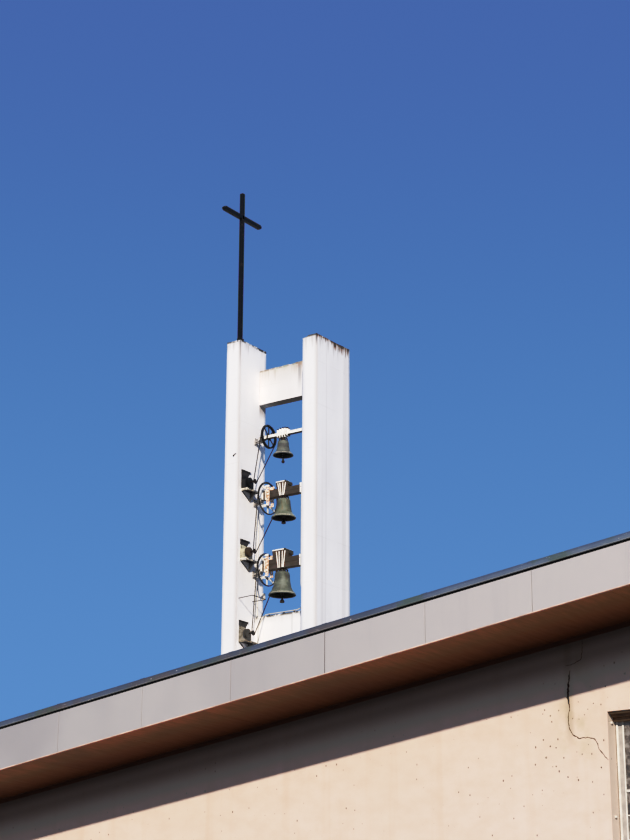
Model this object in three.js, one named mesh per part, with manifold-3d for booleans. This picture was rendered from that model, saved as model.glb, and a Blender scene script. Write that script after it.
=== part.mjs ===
// A modern church: a rendered nave under a shallow single-pitch roof, and a
// bell tower of two concrete pylons with three swinging bells and a cross.
// Millimetres, +Z up. The origin is at ground level under the middle of the
// nave. +X runs along the nave towards its high end, +Y towards the tower.

import * as THREE from "three";
import { mergeVertices } from "three/addons/utils/BufferGeometryUtils.js";
import Module from "manifold-3d";

const wasm = await Module();
wasm.setup();

// Driving dimensions of the nave
const SEAT = 0.3;
const NAVE_HALF_LENGTH = 10510;
const NAVE_HALF_WIDTH = 6040;
const WALL = 350;
const FLOOR_THICKNESS = 180;
const ROOF_SLOPE = 0.13;
const SOFFIT_SLOPE = 0.137;
const OVERHANG = 1840;
const SOFFIT_HEIGHT = 7102;
const SOFFIT_RECESS = 15;
const SOFFIT_THICKNESS = 25;
const FASCIA_HEIGHT = 705;
const FASCIA_THICKNESS = 45;
const CAPPING_TOP = 845;
const CAPPING_WIDTH = 320;
const CAPPING_INSET = 12;
const SHADOW_GAP_INSET = 45;
const ROOF_SLAB_BOTTOM = 500;
const ROOF_SLAB_TOP = 740;
const ROOF_COVERING_TOP = 790;

// Windows and the entrance
const WINDOW_WIDTH = 1600;
const WINDOW_CENTRE = 7710;
const WINDOW_SILL = 2200;
const WINDOW_HEAD_DROP = 1344;
const WINDOW_REVEAL = 250;
const FRAME_DEPTH = 70;
const FRAME_WIDTH = 140;
const HEAD_BOX_HEIGHT = 110;
const HEAD_BOX_DEPTH = 215;
const GLASS_THICKNESS = 24;
const DOOR_WIDTH = 2200;
const DOOR_HEIGHT = 2400;
const DOOR_FRAME = 90;
const DOOR_LEAF_THICKNESS = 60;
const DOOR_REVEAL = 120;

// Tower
const TOWER_FRONT = NAVE_HALF_WIDTH + OVERHANG + SEAT;
const LEFT_PYLON = { x0: -11526, x1: -11044, depth: 1248, top: 21200 };
const RIGHT_PYLON = { x0: -8860, x1: -8380, depth: 1628, top: 20810 };
const CROSS_WALL_FRONT = TOWER_FRONT + 930;
const CROSS_WALL_THICKNESS = 300;
const TOP_BEAM = { bottom: 19450, top: 20508 };
const LOWER_WALL_TOP = 13260;
const CROSS = {
  x: -11280, y: 8165, height: 4720, armHeight: 3950, armLength: 1790, bar: 112,
  plateHalf: 150, plateThickness: 20,
};

// Bells, from the bottom up. Heights with no sign are above the ground; those
// of a yoke are measured from its turning axis.
const YOKE_X = -10040;
const BELL_Y = 8680;
const BELL_SIDES = 40;
const YOKE_HALF_LENGTH = 700;
const YOKE_BLOCK = {
  footWidth: 0.82, middleWidth: 0.94, topWidth: 0.6, middleRise: 0.35, edgeRise: 0.9, inset: 6,
};
const PIN = { radius: 30, sides: 24, clearance: 0.4, rootLength: 60, endReach: 15 };
const BEARING = {
  gap: 60, width: 90, blockHalf: 65, blockBelow: 70, blockAbove: 62, armHalf: 45, armBelow: 130,
  plateThickness: 16, plateHalf: 100, plateBelow: 230, plateAbove: 50,
};
const WHEEL = {
  x: -10590, rimDepth: 24, sides: 48, barThickness: 8, spokeWidth: 46, uprightWidth: 96,
  spokeAngles: [44, -44, 130, -130], plateMargin: 45,
};
const CHAIN = { clearance: 6, thickness: 16, width: 20, arcSegments: 24 };
const SPROCKET = { radius: 58, halfThickness: 8, sides: 32 };

// A bell's section outside, as shares of its radius and height from the lip up,
// and how its wall's thickness changes over the first of these points
const BELL_OUTSIDE = [
  [1.0, 0.0], [0.985, 0.035], [0.91, 0.1], [0.8, 0.18], [0.7, 0.28], [0.635, 0.41], [0.59, 0.56],
  [0.56, 0.7], [0.535, 0.84], [0.515, 0.93], [0.46, 0.98], [0.3, 1.0], [0.0, 1.0],
];
const BELL_WALL_FACTORS = [0.4, 1.2, 1.3, 1.1, 0.85, 0.7, 0.62, 0.6, 0.6];
const BELL_WALL_SHARE = 0.062;
const BELL_ROOF = { heightShare: 0.965, wallShare: 0.55, radiusShare: 0.27 };
const CROWN = { topShare: 0.2, footShare: 0.24, sink: 10, sides: 24 };
const CHEEK = { x: 30, halfThickness: 7, half: 24, overlap: 5 };
const CLAPPER = {
  drop: 60, pinRadius: 12, eyeRadius: 30, eyeHalfWidth: 16, strikeHeight: 0.19, ballShare: 0.138,
  neckShare: 0.06, shankShare: 0.05, topShare: 0.035, sides: 16,
  flightEdge: 0.88, flightWaist: 0.75, edgeRise: 16, flareRise: 36, waistRise: 70,
};

// Ringing motors on shelves on the left pylon
const SHELF = { y0: 8030, y1: 8450, depth: 225, thickness: 14 };
const BACK_PLATE = { thickness: 10, sideInset: 20, farInset: 60, drop: 200 };
const HOOD = { rise: 590, height: 150, footDepth: 40, depth: 110, edge: 20, farInset: 50 };
const GUSSET = { height: 190, footDepth: 25, frontInset: 15, thickness: 10, sideInset: 5, farInset: 75 };
const MOTOR_BOX = { depth: 190, height: 300, sideInset: 10, farInset: 110 };
const DRUM = { radius: 132, start: 185, end: 330, sides: 28 };
const SHAFT = { radius: 22, start: 325, sides: 16 };
const BELLS = [
  {
    name: "bottom", x: -10065, axis: 14500, mouth: 13720, diameter: 760, shoulder: 14378,
    yokeBottom: -24, yokeTop: 256, yokeDepth: 200, blockTop: 518, blockHalf: 284,
    wheelRadius: 450, wheelWidth: 28, clapperReach: 205, flight: 64,
    motor: { y: 8085, z: 12635, shelf: 12450 },
  },
  {
    name: "middle", x: -10040, axis: 16560, mouth: 15910, diameter: 686, shoulder: 16462,
    yokeBottom: -14, yokeTop: 206, yokeDepth: 190, blockTop: 418, blockHalf: 214,
    wheelRadius: 456, wheelWidth: 28, clapperReach: 160, flight: 60,
    motor: { y: 8095, z: 14925, shelf: 14740 },
  },
  {
    name: "top", x: -10078, axis: 18380, mouth: 17740, diameter: 575, shoulder: 18168,
    yokeBottom: -45, yokeTop: 45, yokeDepth: 100, blockTop: 185, blockHalf: 210,
    wheelRadius: 334, wheelWidth: 70, clapperReach: 225, flight: 44,
    motor: { y: 8075, z: 16925, shelf: 16750 },
  },
];

// Materials
function paint(colour, roughness, metalness) {
  return new THREE.MeshStandardMaterial({ color: colour, roughness, metalness });
}

const RENDER = paint(0xe6d6c4, 0.9, 0);
const WHITE_CONCRETE = paint(0xf2f0ec, 0.85, 0);
const FLOOR_CONCRETE = paint(0xa8a49c, 0.9, 0);
const FASCIA_PANEL = paint(0xc8c0bd, 0.6, 0.1);
const CAPPING_METAL = paint(0x5a6469, 0.5, 0.4);
const ROOF_SHEET = paint(0x6a7074, 0.6, 0.3);
const SOFFIT_WOOD = paint(0x78462d, 0.6, 0);
const WHITE_FRAME = paint(0xf0eee8, 0.5, 0);
const GREY_GLASS = paint(0x8f969a, 0.3, 0);
const DOOR_WOOD = paint(0x6b4024, 0.6, 0);
const DARK_STEEL = paint(0x1b1b1c, 0.5, 0.6);
const WHITE_STEEL = paint(0xe8e6e0, 0.5, 0.3);
const BRONZE = paint(0x646a5a, 0.45, 0.8);
const YOKE_TIMBER = paint(0x5c4032, 0.8, 0);
const MOTOR_PAINT = paint(0x9a9182, 0.5, 0.3);
const CHAIN_STEEL = paint(0x3a3a3a, 0.5, 0.7);

// Closed-solid helpers
function toManifold(geometry) {
  const bare = geometry.clone();
  bare.deleteAttribute("normal");
  bare.deleteAttribute("uv");
  const merged = mergeVertices(bare, 1e-3);
  return new wasm.Manifold(new wasm.Mesh({
    numProp: 3,
    vertProperties: new Float32Array(merged.attributes.position.array),
    triVerts: new Uint32Array(merged.index.array),
  }));
}

function fromManifold(solid) {
  const mesh = solid.getMesh();
  const geometry = new THREE.BufferGeometry();
  geometry.setAttribute("position", new THREE.BufferAttribute(mesh.vertProperties, 3));
  geometry.setIndex(new THREE.BufferAttribute(mesh.triVerts, 1));
  geometry.computeVertexNormals();
  return geometry;
}

function join(...geometries) {
  return fromManifold(geometries.map(toManifold).reduce((sum, solid) => sum.add(solid)));
}

function cut(body, ...tools) {
  return fromManifold(tools.map(toManifold).reduce((rest, tool) => rest.subtract(tool), toManifold(body)));
}

function box(x0, x1, y0, y1, z0, z1) {
  const geometry = new THREE.BoxGeometry(x1 - x0, y1 - y0, z1 - z0);
  return geometry.translate((x0 + x1) / 2, (y0 + y1) / 2, (z0 + z1) / 2);
}

// A box about a point in plan, between two heights
function boxAbout(x, y, halfX, halfY, z0, z1) {
  return box(x - halfX, x + halfX, y - halfY, y + halfY, z0, z1);
}

// Rounds every coordinate to a hundredth, so that points that meet stay equal
function snapped(geometry) {
  const { array } = geometry.attributes.position;
  for (let i = 0; i < array.length; i += 1) {
    array[i] = Math.round(array[i] * 100) / 100;
  }
  geometry.computeVertexNormals();
  return geometry;
}

// Lowers or raises a solid's points along X, by the slope at their height
function onSlope(geometry, slopeAt) {
  const points = geometry.attributes.position;
  for (let i = 0; i < points.count; i += 1) {
    points.setZ(i, points.getZ(i) + slopeAt(points.getZ(i)) * points.getX(i));
  }
  return snapped(geometry);
}

function onRoof(geometry) {
  return onSlope(geometry, () => ROOF_SLOPE);
}

function rectangle(u0, u1, v0, v1) {
  const corners = [[u0, v0], [u1, v0], [u1, v1], [u0, v1]];
  return new THREE.Shape(corners.map(([u, v]) => new THREE.Vector2(u, v)));
}

// A rectangular ring in plan, between two rectangles and two heights
function planRing(outerX, outerY, innerX, innerY, z0, z1) {
  const shape = rectangle(-outerX, outerX, -outerY, outerY);
  shape.holes.push(rectangle(-innerX, innerX, -innerY, innerY));
  const ring = new THREE.ExtrudeGeometry(shape, { depth: z1 - z0, bevelEnabled: false });
  return ring.translate(0, 0, z0);
}

// A panel that stands in the XZ plane, from y0 to y1
function panelAcross(shape, y0, y1) {
  const panel = new THREE.ExtrudeGeometry(shape, { depth: y1 - y0, bevelEnabled: false });
  return snapped(panel.rotateX(Math.PI / 2).translate(0, y1, 0));
}

// A panel that stands in the YZ plane, from x0 to x1
function panelAlong(shape, x0, x1, curveSegments = 12) {
  const panel = new THREE.ExtrudeGeometry(shape, { depth: x1 - x0, bevelEnabled: false, curveSegments });
  return snapped(panel.rotateX(Math.PI / 2).rotateZ(Math.PI / 2).translate(x0, 0, 0));
}

function cylinderX(radius, x0, x1, y, z, sides) {
  const rod = new THREE.CylinderGeometry(radius, radius, x1 - x0, sides);
  return rod.rotateZ(-Math.PI / 2).translate((x0 + x1) / 2, y, z);
}

const church = new THREE.Group();

function place(name, geometry, material) {
  const mesh = new THREE.Mesh(geometry, material);
  mesh.name = name;
  church.add(mesh);
}

// Walls, floor and roof
const wallTop = SOFFIT_HEIGHT + ROOF_SLAB_BOTTOM - SEAT;

function headHeight(x) {
  return SOFFIT_HEIGHT + ROOF_SLOPE * x - WINDOW_HEAD_DROP;
}

// A wall runs up to the roof slab, with a box cut through it at each opening
function wallWithOpenings(name, wall, openings) {
  const solid = onSlope(wall, (z) => (z > wallTop - 1 ? ROOF_SLOPE : 0));
  place(name, cut(solid, ...openings), RENDER);
}

function longWall(name, y0, y1) {
  const half = WINDOW_WIDTH / 2;
  const openings = [-WINDOW_CENTRE, WINDOW_CENTRE].map((centre) => box(
    centre - half, centre + half, y0 - 10, y1 + 10, WINDOW_SILL, headHeight(centre),
  ));
  wallWithOpenings(name, box(-NAVE_HALF_LENGTH, NAVE_HALF_LENGTH, y0, y1, 0, wallTop), openings);
}

function endWall(name, x0, x1, halfOpening, sill, head) {
  const half = NAVE_HALF_WIDTH - WALL - SEAT;
  const opening = box(x0 - 10, x1 + 10, -halfOpening, halfOpening, sill, head);
  wallWithOpenings(name, box(x0, x1, -half, half, 0, wallTop), [opening]);
}

function buildWalls() {
  longWall("front_wall", -NAVE_HALF_WIDTH, -NAVE_HALF_WIDTH + WALL);
  longWall("rear_wall", NAVE_HALF_WIDTH - WALL, NAVE_HALF_WIDTH);
  const head = headHeight(NAVE_HALF_LENGTH);
  const doorHead = FLOOR_THICKNESS + DOOR_HEIGHT;
  const innerX = NAVE_HALF_LENGTH - WALL;
  endWall("high_end_wall", innerX, NAVE_HALF_LENGTH, WINDOW_WIDTH / 2, WINDOW_SILL, head);
  endWall("low_end_wall", -NAVE_HALF_LENGTH, -innerX, DOOR_WIDTH / 2, FLOOR_THICKNESS, doorHead);
}

function buildFloor() {
  const x = NAVE_HALF_LENGTH - WALL - SEAT;
  const y = NAVE_HALF_WIDTH - WALL - SEAT;
  place("nave_floor", box(-x, x, -y, y, 0, FLOOR_THICKNESS), FLOOR_CONCRETE);
}

function buildRoof() {
  const outerX = NAVE_HALF_LENGTH + OVERHANG;
  const outerY = NAVE_HALF_WIDTH + OVERHANG;
  const slabX = outerX - SHADOW_GAP_INSET;
  const slabY = outerY - SHADOW_GAP_INSET;
  const base = SOFFIT_HEIGHT;
  const slab = box(-slabX, slabX, -slabY, slabY, base + ROOF_SLAB_BOTTOM, base + ROOF_SLAB_TOP - SEAT);
  place("roof_slab", onRoof(slab), FLOOR_CONCRETE);

  const inX = outerX - CAPPING_INSET;
  const inY = outerY - CAPPING_INSET;
  const fascia = planRing(
    inX, inY, inX - FASCIA_THICKNESS, inY - FASCIA_THICKNESS, base, base + FASCIA_HEIGHT,
  );
  const slabSeat = box(
    -slabX - SEAT, slabX + SEAT, -slabY - SEAT, slabY + SEAT,
    base + ROOF_SLAB_BOTTOM - SEAT, base + FASCIA_HEIGHT + 1,
  );
  const fasciaSlope = (z) => (z < base + 1 ? SOFFIT_SLOPE : ROOF_SLOPE);
  place("fascia", onSlope(cut(fascia, slabSeat), fasciaSlope), FASCIA_PANEL);

  const soffit = planRing(
    inX - FASCIA_THICKNESS - SEAT, inY - FASCIA_THICKNESS - SEAT, NAVE_HALF_LENGTH + SEAT,
    NAVE_HALF_WIDTH + SEAT, base + SOFFIT_RECESS, base + SOFFIT_RECESS + SOFFIT_THICKNESS,
  );
  place("soffit_lining", onSlope(soffit, () => SOFFIT_SLOPE), SOFFIT_WOOD);

  const capping = planRing(
    outerX, outerY, outerX - CAPPING_WIDTH, outerY - CAPPING_WIDTH,
    base + ROOF_SLAB_TOP, base + CAPPING_TOP,
  );
  place("roof_capping", onRoof(capping), CAPPING_METAL);

  const sheetX = outerX - CAPPING_WIDTH - SEAT;
  const sheetY = outerY - CAPPING_WIDTH - SEAT;
  const covering = box(
    -sheetX, sheetX, -sheetY, sheetY, base + ROOF_SLAB_TOP, base + ROOF_COVERING_TOP,
  );
  place("roof_covering", onRoof(covering), ROOF_SHEET);
}

// Windows: a frame with a blind's box over its head, and one sheet of glass
function windowSet(name, centre, head, build, face, outward) {
  const u0 = centre - WINDOW_WIDTH / 2;
  const u1 = centre + WINDOW_WIDTH / 2;
  const layer = (shape, nearDepth, farDepth) => {
    const ends = [face - outward * nearDepth, face - outward * farDepth].sort((a, b) => a - b);
    return build(shape, ...ends);
  };
  const outline = rectangle(u0 + SEAT, u1 - SEAT, WINDOW_SILL + SEAT, head - SEAT);
  outline.holes.push(rectangle(
    u0 + FRAME_WIDTH, u1 - FRAME_WIDTH, WINDOW_SILL + FRAME_WIDTH, head - HEAD_BOX_HEIGHT,
  ));
  const frame = layer(outline, WINDOW_REVEAL, WINDOW_REVEAL + FRAME_DEPTH);
  const boxOutline = rectangle(u0 + SEAT, u1 - SEAT, head - HEAD_BOX_HEIGHT, head - SEAT);
  const headBox = layer(boxOutline, WINDOW_REVEAL - HEAD_BOX_DEPTH, WINDOW_REVEAL + 1);
  place(`${name}_frame`, join(frame, headBox), WHITE_FRAME);

  const pane = rectangle(
    u0 + FRAME_WIDTH + SEAT, u1 - FRAME_WIDTH - SEAT,
    WINDOW_SILL + FRAME_WIDTH + SEAT, head - HEAD_BOX_HEIGHT - SEAT,
  );
  const paneDepth = WINDOW_REVEAL + (FRAME_DEPTH - GLASS_THICKNESS) / 2;
  place(`${name}_glass`, layer(pane, paneDepth, paneDepth + GLASS_THICKNESS), GREY_GLASS);
}

function buildWindows() {
  for (const side of [-1, 1]) {
    const end = side < 0 ? "low" : "high";
    const head = headHeight(side * WINDOW_CENTRE);
    windowSet(`front_${end}_window`, side * WINDOW_CENTRE, head, panelAcross, -NAVE_HALF_WIDTH, -1);
    windowSet(`rear_${end}_window`, side * WINDOW_CENTRE, head, panelAcross, NAVE_HALF_WIDTH, 1);
  }
  windowSet("end_window", 0, headHeight(NAVE_HALF_LENGTH), panelAlong, NAVE_HALF_LENGTH, 1);
}

function buildDoors() {
  const outer = -NAVE_HALF_LENGTH + DOOR_REVEAL;
  const half = DOOR_WIDTH / 2;
  const z0 = FLOOR_THICKNESS;
  const z1 = FLOOR_THICKNESS + DOOR_HEIGHT;
  const outline = rectangle(-half + SEAT, half - SEAT, z0 + SEAT, z1 - SEAT);
  outline.holes.push(rectangle(-half + DOOR_FRAME, half - DOOR_FRAME, z0 + DOOR_FRAME / 2, z1 - DOOR_FRAME));
  place("door_frame", panelAlong(outline, outer, outer + FRAME_DEPTH), DOOR_WOOD);
  for (const side of [-1, 1]) {
    const inner = side * SEAT;
    const edge = side * (half - DOOR_FRAME - SEAT);
    const leaf = rectangle(
      Math.min(inner, edge), Math.max(inner, edge), z0 + DOOR_FRAME / 2 + SEAT, z1 - DOOR_FRAME - SEAT,
    );
    const name = side < 0 ? "door_leaf_front" : "door_leaf_rear";
    place(name, panelAlong(leaf, outer, outer + DOOR_LEAF_THICKNESS), DOOR_WOOD);
  }
}

// Tower masonry and cross
function buildTower() {
  for (const [name, pylon] of [["left_pylon", LEFT_PYLON], ["right_pylon", RIGHT_PYLON]]) {
    const slab = box(pylon.x0, pylon.x1, TOWER_FRONT, TOWER_FRONT + pylon.depth, 0, pylon.top);
    place(name, slab, WHITE_CONCRETE);
  }
  const x0 = LEFT_PYLON.x1 + SEAT;
  const x1 = RIGHT_PYLON.x0 - SEAT;
  const y0 = CROSS_WALL_FRONT;
  const y1 = CROSS_WALL_FRONT + CROSS_WALL_THICKNESS;
  place("top_beam", box(x0, x1, y0, y1, TOP_BEAM.bottom, TOP_BEAM.top), WHITE_CONCRETE);
  place("lower_wall", box(x0, x1, y0, y1, 0, LOWER_WALL_TOP), WHITE_CONCRETE);
}

function roundedBar(length, width) {
  const bar = new THREE.Shape();
  const reach = length / 2 - width / 2;
  bar.absarc(reach, 0, width / 2, -Math.PI / 2, Math.PI / 2, false);
  bar.absarc(-reach, 0, width / 2, Math.PI / 2, 3 * Math.PI / 2, false);
  return bar;
}

function buildCross() {
  const foot = LEFT_PYLON.top + SEAT;
  const half = CROSS.bar / 2;
  const post = boxAbout(CROSS.x, CROSS.y, half, half, foot, foot + CROSS.height);
  const arm = panelAlong(roundedBar(CROSS.armLength, CROSS.bar), CROSS.x - half, CROSS.x + half, 6);
  arm.translate(0, CROSS.y, foot + CROSS.armHeight);
  const plateHalf = CROSS.plateHalf;
  const plate = boxAbout(CROSS.x, CROSS.y, plateHalf, plateHalf, foot, foot + CROSS.plateThickness);
  place("cross", join(post, arm, plate), DARK_STEEL);
}

// A hole that a pin turns in, a little wider than the pin at its flats
function pinHole(radius, x0, x1, z) {
  const holeRadius = (radius + PIN.clearance) / Math.cos(Math.PI / PIN.sides);
  return cylinderX(holeRadius, x0, x1, BELL_Y, z, PIN.sides);
}

// Bells: each turns on two pins in bearings that the pylons carry
function bearing(name, axis, yokeEnd, wall) {
  const side = Math.sign(wall - yokeEnd);
  const blockNear = yokeEnd + side * BEARING.gap;
  const blockFar = blockNear + side * BEARING.width;
  const wallFace = wall - side * SEAT;
  const part = (xa, xb, half, below, above) => box(
    Math.min(xa, xb), Math.max(xa, xb), BELL_Y - half, BELL_Y + half, axis - below, axis + above,
  );
  const block = part(blockNear, blockFar, BEARING.blockHalf, BEARING.blockBelow, BEARING.blockAbove);
  const arm = part(blockNear, wallFace, BEARING.armHalf, BEARING.armBelow, 1 - BEARING.blockBelow);
  const plate = part(
    wallFace - side * BEARING.plateThickness, wallFace,
    BEARING.plateHalf, BEARING.plateBelow, BEARING.plateAbove,
  );
  const holeEnds = [blockNear - side, blockFar + side].sort((p, q) => p - q);
  place(name, cut(join(block, arm, plate), pinHole(PIN.radius, ...holeEnds, axis)), WHITE_STEEL);
}

// The block on a yoke widens towards its top and has its corners cut off
function yokeBlock(bell) {
  const half = bell.blockHalf;
  const rise = bell.blockTop - bell.yokeTop;
  const corners = [
    [YOKE_BLOCK.footWidth * half, -1], [YOKE_BLOCK.middleWidth * half, YOKE_BLOCK.middleRise * rise],
    [half, YOKE_BLOCK.edgeRise * rise], [YOKE_BLOCK.topWidth * half, rise],
  ];
  const mirrored = corners.map(([u, v]) => [-u, v]).reverse();
  const shape = new THREE.Shape([...corners, ...mirrored].map(([u, v]) => new THREE.Vector2(u, v)));
  const depthHalf = bell.yokeDepth / 2 - YOKE_BLOCK.inset;
  const block = panelAcross(shape, BELL_Y - depthHalf, BELL_Y + depthHalf);
  return block.translate(bell.x, 0, bell.axis + bell.yokeTop);
}

function yoke(bell) {
  const { axis } = bell;
  const x0 = YOKE_X - YOKE_HALF_LENGTH;
  const x1 = YOKE_X + YOKE_HALF_LENGTH;
  const beam = boxAbout(
    YOKE_X, BELL_Y, YOKE_HALF_LENGTH, bell.yokeDepth / 2, axis + bell.yokeBottom, axis + bell.yokeTop,
  );
  const reach = BEARING.gap + BEARING.width + PIN.endReach;
  const leftPin = cylinderX(PIN.radius, x0 - reach, x0 + PIN.rootLength, BELL_Y, axis, PIN.sides);
  const rightPin = cylinderX(PIN.radius, x1 - PIN.rootLength, x1 + reach, BELL_Y, axis, PIN.sides);
  const material = bell.name === "top" ? WHITE_STEEL : YOKE_TIMBER;
  place(`yoke_${bell.name}`, join(beam, yokeBlock(bell), leftPin, rightPin), material);
}

function wheelRim(outer, width) {
  const inner = outer - WHEEL.rimDepth;
  const profile = [[inner, 0], [outer, 0], [outer, width], [inner, width], [inner, 0]];
  const rim = new THREE.LatheGeometry(profile.map(([r, h]) => new THREE.Vector2(r, h)), WHEEL.sides);
  return rim.translate(0, -width / 2, 0).rotateZ(Math.PI / 2);
}

function wheelBar(outer, degrees, width) {
  const half = WHEEL.barThickness / 2;
  const bar = box(-half, half, -width / 2, width / 2, 0, outer - WHEEL.rimDepth / 2);
  return bar.rotateX(THREE.MathUtils.degToRad(degrees));
}

// A rim on flat bars, clamped round the yoke's beam by a plate
function wheel(bell) {
  const outer = bell.wheelRadius;
  const spokes = WHEEL.spokeAngles.map((degrees) => wheelBar(outer, degrees, WHEEL.spokeWidth));
  const uprights = [0, 180].map((degrees) => wheelBar(outer, degrees, WHEEL.uprightWidth));
  const plateHalf = WHEEL.barThickness / 2 + 1;
  const beamSection = (halfLength, margin) => boxAbout(
    0, 0, halfLength, bell.yokeDepth / 2 + margin, bell.yokeBottom - margin, bell.yokeTop + margin,
  );
  const plate = beamSection(plateHalf, WHEEL.plateMargin);
  const beamHole = beamSection(plateHalf + 1, SEAT);
  const rim = wheelRim(outer, bell.wheelWidth);
  const solid = cut(join(rim, ...spokes, ...uprights, plate), beamHole);
  place(`wheel_${bell.name}`, solid.translate(WHEEL.x, BELL_Y, bell.axis), WHITE_STEEL);
}

function bellRoof(height, thickness) {
  return height * BELL_ROOF.heightShare - thickness * BELL_ROOF.wallShare;
}

function bellSizes(bell) {
  const height = bell.shoulder - bell.mouth;
  const thickness = bell.diameter * BELL_WALL_SHARE;
  const roof = bell.mouth + bellRoof(height, thickness);
  return { radius: bell.diameter / 2, height, thickness, roof, pivot: roof - CLAPPER.drop };
}

// Half of a bell's section, from its inner roof down to the lip and up outside
function bellProfile(radius, height, thickness) {
  const outer = BELL_OUTSIDE.map(([r, h]) => new THREE.Vector2(r * radius, h * height));
  const inner = BELL_WALL_FACTORS.map((factor, i) => (
    new THREE.Vector2(outer[i].x - factor * thickness, outer[i].y)
  ));
  const roof = bellRoof(height, thickness);
  inner.push(new THREE.Vector2(BELL_ROOF.radiusShare * radius, roof), new THREE.Vector2(0, roof));
  return [...inner.reverse(), ...outer];
}

// The block between a bell and its yoke
function crown(bell, radius) {
  const top = bell.axis + bell.yokeBottom - SEAT;
  const height = top - bell.shoulder + CROWN.sink;
  const block = new THREE.CylinderGeometry(
    CROWN.topShare * radius, CROWN.footShare * radius, height, CROWN.sides,
  );
  return block.rotateX(Math.PI / 2).translate(bell.x, BELL_Y, top - height / 2);
}

function bellShell(bell) {
  const { radius, height, thickness, roof, pivot } = bellSizes(bell);
  const shell = new THREE.LatheGeometry(bellProfile(radius, height, thickness), BELL_SIDES);
  shell.rotateX(Math.PI / 2).translate(bell.x, BELL_Y, bell.mouth);
  const cheeks = [-1, 1].map((side) => boxAbout(
    bell.x + side * CHEEK.x, BELL_Y, CHEEK.halfThickness, CHEEK.half,
    pivot - CHEEK.half, roof + CHEEK.overlap,
  ));
  const pin = cylinderX(
    CLAPPER.pinRadius, bell.x - CHEEK.x, bell.x + CHEEK.x, BELL_Y, pivot, PIN.sides,
  );
  place(`bell_${bell.name}`, join(shell, crown(bell, radius), ...cheeks, pin), BRONZE);
}

// Half of a clapper's outline, from its flight's tip up past the ball to the eye
function clapperProfile(bell, radius, pivot) {
  const ball = CLAPPER.ballShare * radius;
  const strike = bell.mouth + CLAPPER.strikeHeight * radius;
  const neck = CLAPPER.neckShare * radius;
  const waist = CLAPPER.flightWaist * bell.flight;
  const tip = bell.mouth - bell.clapperReach;
  return [
    [0, tip], [CLAPPER.flightEdge * bell.flight, tip], [bell.flight, tip + CLAPPER.edgeRise],
    [bell.flight, tip + CLAPPER.flareRise], [waist, tip + CLAPPER.waistRise], [neck, bell.mouth],
    [neck, strike - 0.95 * ball], [0.8 * ball, strike - 0.6 * ball],
    [ball, strike], [0.8 * ball, strike + 0.6 * ball],
    [CLAPPER.shankShare * radius, strike + 1.4 * ball],
    [CLAPPER.topShare * radius, pivot - CLAPPER.eyeRadius], [0, pivot - CLAPPER.eyeRadius + 10],
  ];
}

function clapper(bell) {
  const { radius, pivot } = bellSizes(bell);
  const profile = clapperProfile(bell, radius, pivot).map(([r, z]) => new THREE.Vector2(r, z));
  const rod = new THREE.LatheGeometry(profile, CLAPPER.sides);
  rod.rotateX(Math.PI / 2).translate(bell.x, BELL_Y, 0);
  const eyeEnds = [bell.x - CLAPPER.eyeHalfWidth, bell.x + CLAPPER.eyeHalfWidth];
  const eye = cylinderX(CLAPPER.eyeRadius, ...eyeEnds, BELL_Y, pivot, PIN.sides);
  const hole = pinHole(CLAPPER.pinRadius, eyeEnds[0] - 1, eyeEnds[1] + 1, pivot);
  place(`clapper_${bell.name}`, cut(join(rod, eye), hole), DARK_STEEL);
}

function gusset(y, wall, shelf) {
  const side = new THREE.Shape([
    new THREE.Vector2(0, 0), new THREE.Vector2(0, -GUSSET.height),
    new THREE.Vector2(GUSSET.footDepth, -GUSSET.height),
    new THREE.Vector2(SHELF.depth - GUSSET.frontInset, 0),
  ]);
  return panelAcross(side, y, y + GUSSET.thickness).translate(wall, 0, shelf - SHELF.thickness / 2);
}

function hood(wall, shelf) {
  const side = new THREE.Shape([
    new THREE.Vector2(0, 0), new THREE.Vector2(0, -HOOD.height),
    new THREE.Vector2(HOOD.footDepth, -HOOD.height), new THREE.Vector2(HOOD.depth, -HOOD.edge),
    new THREE.Vector2(HOOD.depth, 0),
  ]);
  return panelAcross(side, SHELF.y0, SHELF.y1 - HOOD.farInset).translate(wall, 0, shelf + HOOD.rise);
}

// A shelf on the left pylon with its back plate, gussets and a small hood
function motorBracket(bell) {
  const { shelf } = bell.motor;
  const wall = LEFT_PYLON.x1 + SEAT;
  const plate = box(
    wall, wall + BACK_PLATE.thickness, SHELF.y0 + BACK_PLATE.sideInset, SHELF.y1 - BACK_PLATE.farInset,
    shelf - BACK_PLATE.drop, shelf + HOOD.rise,
  );
  const tray = box(wall, wall + SHELF.depth, SHELF.y0, SHELF.y1, shelf - SHELF.thickness, shelf);
  const sides = [SHELF.y0 + GUSSET.sideInset, SHELF.y1 - GUSSET.farInset];
  const gussets = sides.map((y) => gusset(y, wall, shelf));
  place(`motor_bracket_${bell.name}`, join(plate, tray, hood(wall, shelf), ...gussets), DARK_STEEL);
}

function motor(bell) {
  const { y, z, shelf } = bell.motor;
  const back = LEFT_PYLON.x1 + BACK_PLATE.thickness + 2 * SEAT;
  const body = box(
    back, back + MOTOR_BOX.depth, SHELF.y0 + MOTOR_BOX.sideInset, SHELF.y1 - MOTOR_BOX.farInset,
    shelf + SEAT, shelf + MOTOR_BOX.height,
  );
  const drum = cylinderX(DRUM.radius, back + DRUM.start, back + DRUM.end, y, z, DRUM.sides);
  const shaft = cylinderX(SHAFT.radius, back + SHAFT.start, WHEEL.x, y, z, SHAFT.sides);
  const sprocketEnds = [WHEEL.x - SPROCKET.halfThickness, WHEEL.x + SPROCKET.halfThickness];
  const sprocket = cylinderX(SPROCKET.radius, ...sprocketEnds, y, z, SPROCKET.sides);
  place(`motor_${bell.name}`, join(body, drum, shaft, sprocket), MOTOR_PAINT);
}

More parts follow.
